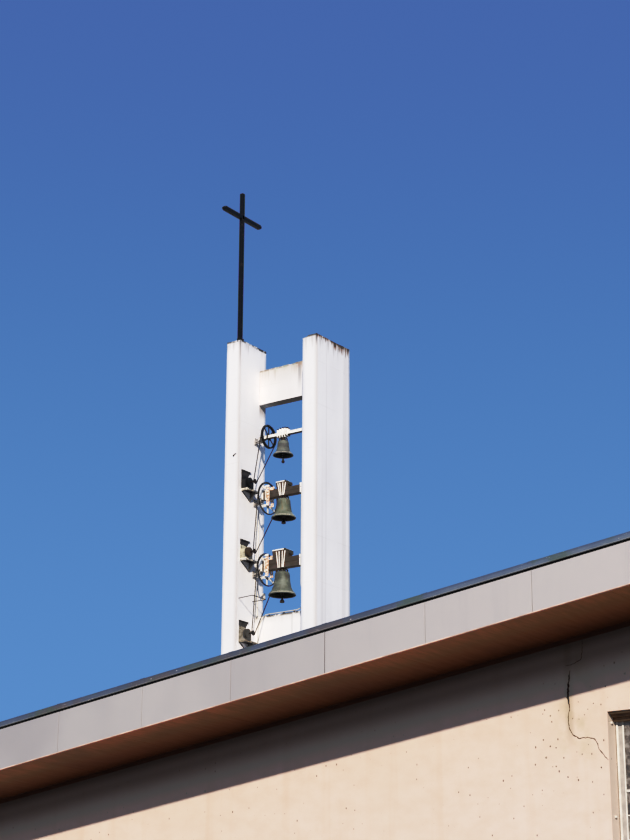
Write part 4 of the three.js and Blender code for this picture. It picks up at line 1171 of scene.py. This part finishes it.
BEAMS = {"bottom": (-0.024, 0.256, 0.1), "middle": (-0.014, 0.206, 0.095), "top": (-0.045, 0.045, 0.05)}
YOKES = {
    "bottom": {"top": 0.516, "block": 0.284, "band": 0.02},
    "middle": {"top": 0.416, "block": 0.214, "band": 0.05},
}
STRAPS = {
    "bottom": (14.95, (-10.2, -10.107, -9.995, -9.906), 14.455, (-10.135, -10.091, -10.003, -9.965)),
    "middle": (16.918, (-10.18, -10.111, -10.007, -9.914), 16.535, (-10.106, -10.061, -10.003, -9.969)),
}


def flat_bar(work, start, end, width, thick, wide_axis):
    """A flat bar between two points, its width along a given axis."""
    start, end = Vector(start), Vector(end)
    along = (end - start).normalized()
    wide = Vector(wide_axis)
    wide = (wide - along * wide.dot(along)).normalized()
    turn = Matrix((along, wide, along.cross(wide))).transposed().to_4x4()
    length = (end - start).length
    add_block(
        work, (0, -width / 2, -thick / 2), (length, width / 2, thick / 2), thick * 0.2,
        Matrix.Translation(start) @ turn,
    )


def add_pins(work, axis):
    """The steel pins on which a yoke turns, one at each end."""
    for side in (-1, 1):
        inner = YOKE_X + side * (YOKE_HALF - 0.06)
        add_turned(work, [
            (0.0, 0.0), (BOSS + 0.012, 0.0), (BOSS + 0.012, side * 0.075), (BOSS, side * 0.078),
            (BOSS, side * 0.218), (BOSS - 0.005, side * 0.224), (0.0, side * 0.224),
        ], (inner, BELL_Y, axis), "X", 28)


for bell, size in YOKES.items():
    axis, body, centre_x = AXES[bell], "bell_" + bell, BELL_X[bell]
    low, high, half = BEAMS[bell]
    low_z, high_z, top_z = axis + low, axis + high, axis + size["top"]
    front, back = BELL_Y - half, BELL_Y + half
    work = bmesh.new()
    depth = (high_z - low_z) / 2
    for foot in (low_z, low_z + depth):
        add_block(
            work, (YOKE_X - YOKE_HALF, front, foot), (YOKE_X + YOKE_HALF, back, foot + depth - 0.003), 0.008,
        )
    rise = top_z - high_z
    flare = [
        (0.82, 0.0), (0.94, 0.35), (1.0, 0.72), (0.55, 0.94), (-0.95, 0.94), (-1.0, 0.88), (-0.94, 0.35),
        (-0.82, 0.0),
    ]
    outline = [(centre_x + share * size["block"], high_z - 0.002 + height * rise) for share, height in flare]
    add_prism(work, outline, front + 0.008, back - 0.008, "Y")
    built(work, f"yoke_{bell}_timber", timber, "yoke_timber", "yoke_" + bell, body=body)

    work = bmesh.new()
    cover = centre_x - 0.98 * size["block"], centre_x + 0.4 * size["block"]
    add_block(work, (cover[0], front - 0.01, top_z - 0.036), (cover[1], back + 0.01, top_z), 0.004)
    built(work, f"yoke_{bell}_cover", old_white, "yoke_timber", body=body)
    # A dark sheet over the block's right shoulder: painted shade on that side.
    work = bmesh.new()
    cap = [(0.42, 1.0), (0.42, 0.90), (0.97, 0.66), (1.0, 0.35), (1.04, 0.35), (1.02, 0.74), (0.6, 0.98)]
    outline = [(centre_x + share * size["block"], high_z + height * rise) for share, height in cap]
    add_prism(work, outline, front - 0.004, back + 0.004, "Y")
    built(work, f"yoke_{bell}_cap", cap_shade_dark, "yoke_timber", body=body)

    work = bmesh.new()
    strap_top, tops, strap_foot, feet = STRAPS[bell]
    for face, out in ((front, -1), (back, 1)):
        for x_top, x_foot in zip(tops, feet):
            y = face + out * 0.006
            top_end = (x_top, y, min(strap_top, top_z - 0.03))
            flat_bar(work, top_end, (x_foot, y, max(strap_foot, low_z + 0.006)), 0.034, 0.01, (1, 0, 0))
    foot_z, band_z = low_z - 0.008, high_z + size["band"]
    for side, inset, width in ((-1, 0.03, 0.06), (1, 0.05, 0.075)):
        x = YOKE_X + side * (YOKE_HALF - inset)
        for ys, zs in (
            ((front - 0.008, front + 0.001), (foot_z, band_z)),
            ((back - 0.001, back + 0.008), (foot_z, band_z)), ((front, back), (foot_z, low_z + 0.001)),
            ((front, back), (high_z - 0.001, band_z)),
        ):
            add_block(work, (x - width / 2, ys[0], zs[0]), (x + width / 2, ys[1], zs[1]), 0.002)
    built(work, f"yoke_{bell}_straps", old_white, "white_steel", body=body)
    work = bmesh.new()
    add_pins(work, axis)
    x = YOKE_X + YOKE_HALF - 0.096
    add_block(
        work, (x - 0.008, front - 0.006, low_z - 0.006), (x + 0.008, back + 0.006, high_z + 0.006), 0.002,
    )
    built(work, f"yoke_{bell}_pins", iron, "bracket_steel", body=body)
    spots = [((centre_x + dx, BELL_Y + dy, top_z - 0.004), (0, 0, 1))
             for dx in (-0.09, 0, 0.09) for dy in (-0.05, 0.05)]
    set_on(bolts_at(f"yoke_{bell}_bolts", iron, spots, 0.016, 0.022), body, "bracket_steel")


# The top bell's yoke: a cream steel beam, dark below as painted shade, with a cast
# clamp over its middle whose bolts stand up from it.
axis, centre_x = AXES["top"], BELL_X["top"]
beam_ends = YOKE_X - YOKE_HALF, YOKE_X + YOKE_HALF
work = bmesh.new()
add_level(work, beam_ends, 0.05, (axis + 0.033, axis + 0.045), 0.002)
add_level(work, beam_ends, 0.05, (axis - 0.045, axis - 0.033), 0.002)
add_level(work, beam_ends, 0.045, (axis - 0.034, axis + 0.034), 0.001)
clamp = [(-0.2, 0.0), (-0.195, 0.06), (-0.16, 0.09), (0.16, 0.09), (0.195, 0.06), (0.2, 0.0)]
add_prism(work, [(centre_x + u, axis + 0.04 + v) for u, v in clamp], BELL_Y - 0.03, BELL_Y + 0.03, "Y")
CLAMP_RIBS = ((-0.165, 0.122), (-0.083, 0.148), (0.0, 0.154), (0.083, 0.148), (0.165, 0.122))
for x, rise in CLAMP_RIBS:
    rib_ends = centre_x + x - 0.024, centre_x + x + 0.024
    add_level(work, rib_ends, 0.068, (axis + 0.03 - rise, axis + rise), 0.014)
built(work, "yoke_top_beam", old_white, "white_steel", "yoke_top", body="bell_top")
work = bmesh.new()
add_pins(work, axis)
# A dark iron block under the clamp and a thin dark plate along the beam's foot: painted shade.
add_level(work, (centre_x - 0.2, centre_x + 0.2), 0.055, (axis - 0.09, axis - 0.044), 0.003)
add_level(work, beam_ends, 0.046, (axis - 0.055, axis - 0.0455), 0.002)
built(work, "yoke_top_pins", iron, "bracket_steel", body="bell_top")
spots = [((centre_x + x, BELL_Y + dy, axis + rise - 0.001), (0, 0, 1))
         for x, rise in CLAMP_RIBS for dy in (-0.035, 0.035)]
set_on(bolts_at("yoke_top_bolts", iron, spots, 0.018, 0.036), "bell_top", "bracket_steel")


# The ringing wheels: thin black steel rims. The two lower ones hang on white
# cast arms, bent like an anchor's, and a perforated bar that is bolted upright
# to the beam on each side. The top one is a deep channel with plain spokes.
WHEEL_X, BAR_X = -10.59, -10.515
WHEELS = {
    "bottom": {"radius": 0.45, "width": 0.028, "bar": (-0.2, 0.425)},
    "middle": {"radius": 0.456, "width": 0.028, "bar": (-0.23, 0.36)},
    "top": {"radius": 0.334, "width": 0.07},
}
ARM_SHARES = (-0.68, -0.42, -0.2, 0, 0.2, 0.42, 0.68)
rim_black = mottled("rim_black", (30, 29, 30), (64, 54, 48), 18, 3, (0.5, 0.7), (0.4, 0.2), 0.5, 0.4)
bar_peach = mottled("bar_primer", (244, 234, 222), (230, 188, 158), 13, 3, (0.4, 0.62), 0.5, specular=0.35)
plate_tree, plate = new_tree(
    "perforated_bar", Length="Float", Width="Float", Thickness="Float", Holes="Int", Hole="Float",
    Finish="Material",
)
edge = plate["Length"].node(
    "GeometryNodeCurvePrimitiveQuadrilateral", {"Width": plate["Width"], "Height": plate["Length"]},
)
pitch = plate["Length"] / (plate["Holes"] + 0.0)
first_hole = plate["Length"].node("ShaderNodeCombineXYZ", {"Y": pitch * 0.5 - plate["Length"] * 0.5})
hole_step = plate["Length"].node("ShaderNodeCombineXYZ", {"Y": pitch})
centres = plate["Holes"].node(
    "GeometryNodeMeshLine", {"Count": plate["Holes"], "Start Location": first_hole, "Offset": hole_step},
    mode="OFFSET",
)
circle = plate["Hole"].node("GeometryNodeCurvePrimitiveCircle", {"Radius": plate["Hole"], "Resolution": 14})
holes = centres.node("GeometryNodeInstanceOnPoints", {"Points": centres, "Instance": circle})
holes = holes.node("GeometryNodeRealizeInstances", {"Geometry": holes})
outline_and_holes = holes.node("GeometryNodeJoinGeometry", {"Geometry": [edge, holes]})
flat = holes.node("GeometryNodeFillCurve", {"Curve": outline_and_holes})
side_walls = flat.node(
    "GeometryNodeExtrudeMesh", {"Mesh": flat, "Offset Scale": plate["Thickness"], "Individual": False},
)
under = flat.node("GeometryNodeFlipFaces", {"Mesh": flat})
whole = flat.node("GeometryNodeJoinGeometry", {"Geometry": [side_walls, under]})
end_tree(
    plate_tree, whole.node("GeometryNodeMergeByDistance", {"Geometry": whole, "Distance": 1e-5}),
    plate["Finish"],
)


def bent_bar(work, path, width, thick, x):
    """A flat bar bent in the wheel's plane, along points of y and z."""
    path = [Vector(point) for point in path]
    rings = []
    for k, point in enumerate(path):
        along = (path[min(k + 1, len(path) - 1)] - path[max(k - 1, 0)]).normalized()
        across = Vector((-along.y, along.x)) * width / 2
        corners = [(point - across, -1), (point + across, -1), (point + across, 1), (point - across, 1)]
        rings.append([work.verts.new((x + sign * thick / 2, spot.x, spot.y)) for spot, sign in corners])
    skinned(work, rings)


def curve_2d(points, steps=6):
    """A smooth curve through points."""
    points = [Vector(point) for point in points]
    ends = [points[0] * 2 - points[1], *points, points[-1] * 2 - points[-2]]
    path = []
    for a, b, c, d in zip(ends, ends[1:], ends[2:], ends[3:]):
        for step in range(steps):
            t = step / steps
            squared, cubed = (2 * a - 5 * b + 4 * c - d) * t * t, (3 * b - a - 3 * c + d) * t ** 3
            path.append(0.5 * (2 * b + (c - a) * t + squared + cubed))
    return path + [points[-1]]


for bell, size in WHEELS.items():
    axis, radius, body = AXES[bell], size["radius"], "bell_" + bell
    centre = Vector((BELL_Y, axis))
    work = bmesh.new()
    lip, groove = size["width"] / 2, size["width"] / 2 - 0.006
    inner = radius - (0.034 if bell == "top" else 0.024)
    add_turned(work, [
        (inner, -lip), (radius - 0.002, -lip), (radius, -lip + 0.002), (radius, -lip + 0.004),
        (radius - 0.012, -groove), (radius - 0.012, groove), (radius, lip - 0.004), (radius, lip - 0.002),
        (radius - 0.002, lip), (inner, lip), (inner, lip - 0.004), (radius - 0.017, lip - 0.005),
        (radius - 0.017, -lip + 0.005), (inner, -lip + 0.004),
    ], (WHEEL_X, BELL_Y, axis), "X", 72, closed=True)
    built(work, f"wheel_{bell}_rim", rim_black, "white_steel", "wheel_" + bell, body=body)
    reach = radius - 0.014
    work = bmesh.new()
    margin = 0.045
    low, high, half = BEAMS[bell]
    low_z, high_z = axis + low, axis + high
    collar = WHEEL_X - 0.006, WHEEL_X + 0.006
    add_level(work, collar, half + margin, (high_z + 0.001, high_z + margin), 0.001)
    add_level(work, collar, half + margin, (low_z - margin, low_z - 0.001), 0.001)
    for way in (-1, 1):
        near, far = BELL_Y + way * (half + 0.001), BELL_Y + way * (half + margin)
        add_block(work, (collar[0], near, low_z - 0.001), (collar[1], far, high_z + 0.001), 0.001)
    if bell == "top":
        for degrees in (0, 44, -44, 130, -130, 180):
            t = math.radians(degrees)
            way = Vector((math.sin(t), math.cos(t)))
            bent_bar(work, [centre + way * 0.07, centre + way * reach], 0.03, 0.01, WHEEL_X)
    else:
        for heights in (
            (0.68, 0.62, 0.68, 0.72, 0.68, 0.62, 0.68), (-0.68, -0.54, -0.5, -0.5, -0.5, -0.54, -0.68),
        ):
            bend = [centre + Vector(spot) * radius for spot in zip(ARM_SHARES, heights)]
            bent_bar(work, curve_2d(bend), 0.07, 0.012, WHEEL_X)
        stem = [centre + Vector((0, share)) * radius for share in (-0.96, -0.46)]
        bent_bar(work, stem, 0.06, 0.012, WHEEL_X)
    spoke_finish = rim_black if bell == "top" else old_white
    built(work, f"wheel_{bell}_arms", spoke_finish, "white_steel", body=body)
    if bell == "top":
        continue
    start, end = size["bar"]
    work = bmesh.new()
    for side, way in (("front", -1), ("back", 1)):
        face = BELL_Y + way * (half + 0.002)
        bar = grown(
            f"wheel_{bell}_{side}_bar", plate_tree, Length=end - start, Width=0.1, Thickness=0.01,
            Holes=round((end - start) / 0.09), Hole=0.02, Finish=bar_peach,
        )
        stand = Matrix.Translation((BAR_X, face if way < 0 else face + 0.01, axis + (start + end) / 2))
        bar.data.transform(stand @ Matrix(((1, 0, 0, 0), (0, 0, -1, 0), (0, 1, 0, 0), (0, 0, 0, 1))))
        set_on(bar, body, "white_steel")
        near, far, top, foot = face + way * 0.01, face + way * 0.034, axis + end, axis + start
        add_block(work, (WHEEL_X + 0.016, near, top - 0.055), (BAR_X + 0.055, far, top), 0.004)
        add_block(work, (WHEEL_X - 0.006, near, top - 0.05), (WHEEL_X + 0.02, far, top - 0.008), 0.003)
        add_block(work, (WHEEL_X + 0.014, near, foot), (BAR_X + 0.02, far, foot + 0.04), 0.004)
    built(work, f"wheel_{bell}_lugs", old_white, "white_steel", body=body)


# The chains: steel roller chain in a loop round each ringing wheel and the
# motor's sprocket below it.
MOTORS = {"bottom": (8.085, 12.635, 12.45), "middle": (8.095, 14.925, 14.74), "top": (8.075, 16.925, 16.75)}
CHAIN_PITCH = 0.0254
chain_dark = mottled("chain_steel", (44, 42, 42), (82, 62, 48), 30, 3, (0.4, 0.7), (0.35, 0.3), 0.6)
link_tree, link = new_tree(
    "roller_chain", Path="Geometry", Links="Int", Plate="Float", Roller="Float", Finish="Material",
)
loop = link["Path"].node("GeometryNodeMeshToCurve", {"Mesh": link["Path"]})
beads = loop.node("GeometryNodeResampleCurve", {"Curve": loop, "Count": link["Links"]}, mode="COUNT")
tangent = beads.node("GeometryNodeInputTangent")
turn = beads.node("FunctionNodeAlignRotationToVector", {"Vector": tangent}, axis="Y", pivot_axis="X")
side_plate = beads.node("GeometryNodeMeshCylinder", {"Vertices": 8, "Radius": link["Plate"], "Depth": 0.003})
lying = beads.node(
    "GeometryNodeTransform",
    {"Geometry": side_plate, "Rotation": (0, math.pi / 2, 0), "Scale": (1.0, 1.75, 1.0)},
)
parity = beads.node("GeometryNodeInputIndex")
parity = parity.node("ShaderNodeMath", {0: parity, 1: 2.0}, operation="MODULO")
pieces = []
for sign in (-1, 1):
    shift = beads.node("ShaderNodeCombineXYZ", {"X": sign * (0.0055 + 0.0035 * parity)})
    moved = beads.node("GeometryNodeInstanceOnPoints", {"Points": beads, "Instance": lying, "Rotation": turn})
    moved = moved.node(
        "GeometryNodeTranslateInstances", {"Instances": moved, "Translation": shift, "Local Space": False},
    )
    pieces.append(moved)
pin = beads.node("GeometryNodeMeshCylinder", {"Vertices": 8, "Radius": link["Roller"], "Depth": 0.02})
pin = pin.node(
    "GeometryNodeTransform",
    {"Geometry": pin, "Rotation": (0, math.pi / 2, 0), "Translation": (0, CHAIN_PITCH / 2, 0)},
)
pieces.append(
    beads.node("GeometryNodeInstanceOnPoints", {"Points": beads, "Instance": pin, "Rotation": turn})
)
end_tree(link_tree, beads.node("GeometryNodeJoinGeometry", {"Geometry": pieces}), link["Finish"])
for bell, (motor_y, motor_z, _) in MOTORS.items():
    big, small = WHEELS[bell]["radius"] + 0.014, 0.0663
    way = Vector((motor_y - BELL_Y, motor_z - AXES[bell]))
    heading, spread = math.atan2(way.y, way.x), math.acos((big - small) / way.length)
    path = []
    for (cy, cz), radius, start, turn_by, steps in (
        ((BELL_Y, AXES[bell]), big, heading + spread, 2 * math.pi - 2 * spread, 60),
        ((motor_y, motor_z), small, heading - spread, 2 * spread, 24),
    ):
        for step in range(steps + 1):
            t = start + turn_by * step / steps
            path.append((WHEEL_X, cy + radius * math.cos(t), cz + radius * math.sin(t)))
    line_mesh = bpy.data.meshes.new("chain_path")
    line_mesh.from_pydata(path, [(k, (k + 1) % len(path)) for k in range(len(path))], [])
    length = sum((Vector(a) - Vector(b)).length for a, b in zip(path, path[1:] + path[:1]))
    chain = grown(
        f"chain_{bell}", link_tree, line_mesh, Links=2 * round(length / CHAIN_PITCH / 2), Plate=0.0078,
        Roller=0.0062, Finish=chain_dark,
    )
    set_on(chain, "church", "chain_steel", "chain_loop_" + bell)


# The bells: cast bronze, turned inside, with raised rings over the lip, round
# the waist and at the shoulder, and a crown of dark canons under the yoke.
BELLS = {
    "bottom": {"mouth": 13.72, "radius": 0.38, "shoulder": 14.378, "crown": -0.0243},
    "middle": {"mouth": 15.91, "radius": 0.343, "shoulder": 16.462, "crown": -0.0143},
    "top": {"mouth": 17.74, "radius": 0.2875, "shoulder": 18.168, "crown": -0.0953},
}
OUTSIDE = [
    (1.0, 0.0), (0.985, 0.035), (0.91, 0.1), (0.8, 0.18), (0.7, 0.28), (0.635, 0.41), (0.59, 0.56),
    (0.56, 0.7), (0.535, 0.84), (0.515, 0.93), (0.46, 0.98), (0.3, 1.0),
]
WALL_SHARE = [0.4, 1.2, 1.3, 1.1, 0.85, 0.7, 0.62, 0.6, 0.6]
RAISED = (
    (0.075, 0.012, 0.016), (0.105, 0.010, 0.0096), (0.24, 0.009, 0.0096), (0.27, 0.007, 0.0064),
    (0.80, 0.010, 0.0096), (0.835, 0.012, 0.0144), (0.87, 0.009, 0.008),
)
BRONZES = {
    "bottom": ((124, 127, 120), (98, 102, 97), (108, 100, 88), 0.0),
    "middle": ((128, 133, 122), (104, 109, 101), (132, 112, 90), 3.1),
    "top": ((114, 115, 114), (98, 99, 100), (122, 118, 112), 5.7),
}


def bell_bronze(name, mouth, mean, dark, streak, seed):
    """Weathered bronze, streaked from above and lighter in a band just above its lip."""
    finish, shader, place = new_finish(name, roughness=0.6, metallic=0.12, specular=0.3)
    shifted = place.node("ShaderNodeMapping", {"Vector": place, "Location": (seed, seed * 0.7, 0)})
    clouded = shifted.cloud(4.5, 5, 0.62)
    patina = clouded.ramp(0.35, 0.68).tint(mean, dark)
    level = shifted.stretched(0.25, 0.25, 1).cloud(6, 2).ramp(0.42, 0.62)
    patina = patina.coat(level * 0.4, (150, 155, 146))
    runs = shifted.stretched(1, 1, 0.12).cloud(13).ramp(0.54, 0.72)
    patina = patina.coat(runs * 0.6, streak)
    lime = shifted.stretched(1, 1, 0.2).cloud(20).ramp(0.6, 0.72)
    patina = patina.coat(lime * 0.3, (166, 170, 162))
    lip = place.z.near(mouth + 0.035, 0.03, 0.012) * shifted.cloud(14).ramp(0.36, 0.5)
    patina = patina.coat(lip * 0.7, (178, 174, 160))
    feed(shader, base=patina, rough=0.52 + clouded * 0.25, normal=clouded.bump(0.25, 0.003))
    return finish


# The bell's hollow is painted near-black: painted shade inside it.
hollow_shade = mottled(
    "bell_inside", (30, 30, 26), (46, 44, 38), 8, rough=0.8, specular=0.2, bump=(20, 3, 0.2, 0.002),
)
for bell, size in BELLS.items():
    radius, height, centre_x = size["radius"], size["shoulder"] - size["mouth"], BELL_X[bell]
    wall = 2 * radius * 0.062
    fine = curve_2d([(r * radius, h * height) for r, h in OUTSIDE], 10)
    skin = []
    for spot in fine:
        rises = (depth * radius * math.exp(-((spot.y / height - at) / wide) ** 2 * 2)
                 for at, wide, depth in RAISED)
        skin.append((spot.x + sum(rises), spot.y))
    roof = height * 0.965 - wall * 0.55
    hollow = [(r * radius - share * wall, h * height) for (r, h), share in zip(OUTSIDE, WALL_SHARE)]
    hollow += [(0.27 * radius, roof), (0.0, roof)]
    work = bmesh.new()
    add_turned(work, hollow[::-1] + skin + [(0.0, height)], (centre_x, BELL_Y, size["mouth"]), "Z", 96)
    bronze = bell_bronze("bronze_" + bell, size["mouth"], *BRONZES[bell])
    cast = made_piece(f"bell_{bell}_cast", work, bronze, 40)
    cast.data.materials.append(hollow_shade)
    for face in cast.data.polygons:
        away = face.center - Vector((centre_x, BELL_Y, face.center.z))
        if face.normal.dot(away) < 0 and face.center.z < size["mouth"] + roof + 0.001:
            face.material_index = 1
    set_on(cast, "bell_" + bell, "bronze", "bell_" + bell)
    top = AXES[bell] + size["crown"]
    base = size["shoulder"] - 0.006
    work = bmesh.new()
    add_turned(work, [
        (0.0, base), (0.27 * radius, base), (0.25 * radius, base + 0.012), (0.2 * radius, base + 0.02),
        (0.17 * radius, top - 0.02), (0.2 * radius, top - 0.001), (0.0, top - 0.001),
    ], (centre_x, BELL_Y, 0), "Z", 32)
    arch = [(0.36, base), (0.40, base * 0.45 + top * 0.55), (0.17, top - 0.006)]
    for canon in range(6):
        t = math.pi / 3 * canon + math.pi / 6
        out_x, out_y = radius * math.cos(t), radius * math.sin(t)
        path = [(centre_x + share * out_x, BELL_Y + share * out_y, z) for share, z in arch]
        add_rod(work, rounded(path, 0.05), 0.05 * radius)
    built(work, f"crown_{bell}", iron, "bronze", body="bell_" + bell)


# The clappers: forged iron, a ball on a tapered shank with a tail below, hung
# by an eye from a pin inside the bell.
forged = mottled(
    "forged_iron", (36, 34, 35), (60, 48, 42), 16, 4, (0.4, 0.7), (0.42, 0.3), 0.5, 0.4, (25, 3, 0.3, 0.003),
)
CLAPPER_TAILS = {"bottom": (0.205, 0.064), "middle": (0.16, 0.06), "top": (0.225, 0.044)}
for bell, size in BELLS.items():
    radius, height, centre_x = size["radius"], size["shoulder"] - size["mouth"], BELL_X[bell]
    pivot = size["mouth"] + height * 0.965 - 2 * radius * 0.062 * 0.55 - 0.06
    ball, strike = 0.138 * radius, size["mouth"] + 0.19 * radius
    reach, flight = CLAPPER_TAILS[bell]
    tip = size["mouth"] - reach
    profile = [(0.0, tip), (0.8 * flight, tip + 0.002), (0.96 * flight, tip + 0.008), (flight, tip + 0.018),
               (0.98 * flight, tip + 0.034), (0.8 * flight, tip + 0.062), (0.5 * flight, tip + 0.085)]
    if bell == "top":
        turns = [math.radians(a) for a in range(0, 150, 18)]
        profile = [(flight * math.sin(t), tip + flight - flight * math.cos(t)) for t in turns]
    profile += [(0.06 * radius, tip + 0.11), (0.06 * radius, strike - 1.4 * ball)]
    turns = [math.radians(a) for a in range(-80, 81, 10)]
    profile += [(max(0.06 * radius, ball * math.cos(t)), strike + ball * math.sin(t)) for t in turns]
    profile += [(0.05 * radius, strike + 1.5 * ball), (0.036 * radius, pivot - 0.028), (0.0, pivot - 0.026)]
    work = bmesh.new()
    add_turned(work, profile, (centre_x, BELL_Y, 0), "Z", 28)
    add_turned(work, [
        (0.0135, -0.013), (0.027, -0.013), (0.03, -0.008), (0.03, 0.008), (0.027, 0.013), (0.0135, 0.013),
    ], (centre_x, BELL_Y, pivot), "X", 24, closed=True)
    built(work, f"clapper_{bell}_iron", forged, "clapper_iron", "clapper_" + bell, body="clapper_" + bell)
    work = bmesh.new()
    for side in (-1, 1):
        cheek = centre_x + side * 0.023, centre_x + side * 0.037
        add_level(work, cheek, 0.024, (pivot - 0.024, pivot + 0.068), 0.004)
    add_rod(work, [(centre_x - 0.045, BELL_Y, pivot), (centre_x + 0.045, BELL_Y, pivot)], 0.012, 16)
    built(work, f"clapper_hanger_{bell}", forged, "bronze", body="bell_" + bell)


# The ringing motors: each stands on a bracket of folded sheet with a gusset, a
# strut and a small hood over it, a flat dark plate on the pylon with a narrow lip,
# whose dark is painted shade. A box holds the gear, a ribbed drum the motor.
MACHINE_COLOURS = {
    "bottom": ((160, 155, 146), (112, 106, 98), (176, 168, 154)),
    "middle": ((206, 200, 180), (104, 82, 62), (246, 240, 228)),
    "top": ((44, 42, 42), (34, 33, 34), (246, 238, 222)),
}


def machine_paint(name, shade):
    """A paint that grime darkens in places."""
    clean = colour(*shade)
    grimy = tuple(part * 0.55 for part in clean[:3]) + (1.0,)
    return mottled(name, clean, grimy, 11, 4, (0.4, 0.72), (0.4, 0.3), 0.1, 0.4, (40, 3, 0.15, 0.001))


hood_shade_dark = machine_paint("hood_painted_shade", (74, 68, 66))
gusset_grey = machine_paint("gusset_paint", (112, 106, 102))
shelf_shade_dark = machine_paint("shelf_underside_painted_shade", (36, 24, 23))
for bell, (motor_y, motor_z, shelf) in MOTORS.items():
    wall, back = LEFT_WALL, LEFT_WALL + 0.0106
    names = f"motor_{bell}_box_paint", f"motor_{bell}_drum_paint", f"shelf_{bell}_paint"
    box_paint, drum_paint, shelf_paint = map(machine_paint, names, MACHINE_COLOURS[bell])
    bracket = "motor_bracket_" + bell
    work = bmesh.new()
    add_block(work, (wall, 8.03, shelf - 0.012), (wall + 0.225, 8.6, shelf), 0.002)
    add_block(work, (wall, 8.03, shelf - 0.035), (wall + 0.225, 8.036, shelf + 0.03), 0.001)
    add_block(work, (wall + 0.219, 8.03, shelf - 0.026), (wall + 0.225, 8.6, shelf + 0.02), 0.001)
    built(work, bracket + "_shelf", shelf_paint, "bracket_steel", bracket)
    # A near-black sheet under the shelf: painted shade below it.
    work = bmesh.new()
    add_block(work, (wall, 8.04, shelf - 0.02), (wall + 0.215, 8.595, shelf - 0.0125), 0.001)
    built(work, bracket + "_underside", shelf_shade_dark, "bracket_steel")
    work = bmesh.new()
    outline = [
        (wall, shelf - 0.0205), (wall, shelf - 0.27), (wall + 0.02, shelf - 0.27),
        (wall + 0.21, shelf - 0.0205),
    ]
    add_prism(work, outline, 8.43, 8.438, "Y")
    flat_bar(
        work, (wall + 0.005, 8.05, shelf - 0.014), (wall + 0.005, 8.435, shelf - 0.262), 0.03, 0.009,
        (0, 1, 1),
    )
    built(work, bracket + "_gussets", gusset_grey, "bracket_steel")
    work = bmesh.new()
    add_block(work, (wall, 8.035, shelf), (wall + 0.009, 8.34, shelf + 0.45), 0.001)
    built(work, bracket + "_back", box_paint, "bracket_steel")
    # The hood: a flat dark plate on the pylon, its dark a painted shade above the motor.
    work = bmesh.new()
    top = shelf + 0.59
    add_prism(
        work, [(8.03, top), (8.45, top), (8.32, top - 0.17), (8.03, top - 0.15)], wall, wall + 0.0105, "X",
    )
    add_prism(
        work, [(wall, top), (wall, top - 0.006), (wall + 0.045, top - 0.022), (wall + 0.045, top - 0.014)],
        8.03, 8.45, "Y",
    )
    built(work, bracket + "_hood", hood_shade_dark, "bracket_steel")
    bolts = [((wall + 0.009, y, z), (1, 0, 0)) for y in (8.07, 8.31) for z in (shelf + 0.36, shelf + 0.42)]
    bolts += [((wall + 0.03, y, shelf), (0, 0, 1)) for y in (8.4, 8.52)]
    set_on(bolts_at(bracket + "_bolts", iron, bolts, 0.01, 0.012), "church", "bracket_steel")

    work = bmesh.new()
    add_block(work, (back, 8.04, shelf + 0.0006), (back + 0.19, 8.34, shelf + 0.3), 0.008)
    add_block(work, (back + 0.186, 8.07, shelf + 0.03), (back + 0.194, 8.31, shelf + 0.27), 0.002)
    built(work, f"motor_{bell}_box", box_paint, "motor_paint", "motor_" + bell)
    work = bmesh.new()
    ribs = [(0.0, 0.0), (0.06, 0.0), (0.118, 0.004)]
    for rib in range(8):
        x = 0.012 + rib * 0.0115
        ribs += [(0.12, x), (0.131, x + 0.001), (0.131, x + 0.0045), (0.12, x + 0.0055)]
    ribs += [(0.118, 0.105), (0.075, 0.111), (0.05, 0.111), (0.048, 0.117), (0.0, 0.117)]
    add_turned(work, ribs, (back + 0.185, motor_y, motor_z), "X", 40)
    built(work, f"motor_{bell}_drum", drum_paint, "motor_paint")
    work = bmesh.new()
    shaft, hub = WHEEL_X - 0.02 - back - 0.3, WHEEL_X + 0.014 - back - 0.3
    profile = [(0.0, 0.0), (0.022, 0.0), (0.022, shaft), (0.034, shaft), (0.034, hub), (0.0, hub)]
    add_turned(work, profile, (back + 0.3, motor_y, motor_z), "X", 20)
    teeth = 15
    outline = []
    for k in range(teeth * 4):
        t = 2 * math.pi * k / (teeth * 4)
        r = (0.0572, 0.0655, 0.0655, 0.0572)[k % 4]
        outline.append((motor_y + r * math.cos(t), motor_z + r * math.sin(t)))
    add_prism(work, outline, WHEEL_X - 0.004, WHEEL_X + 0.004, "X")
    built(work, f"motor_{bell}_sprocket", chain_dark, "motor_paint")


low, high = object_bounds()
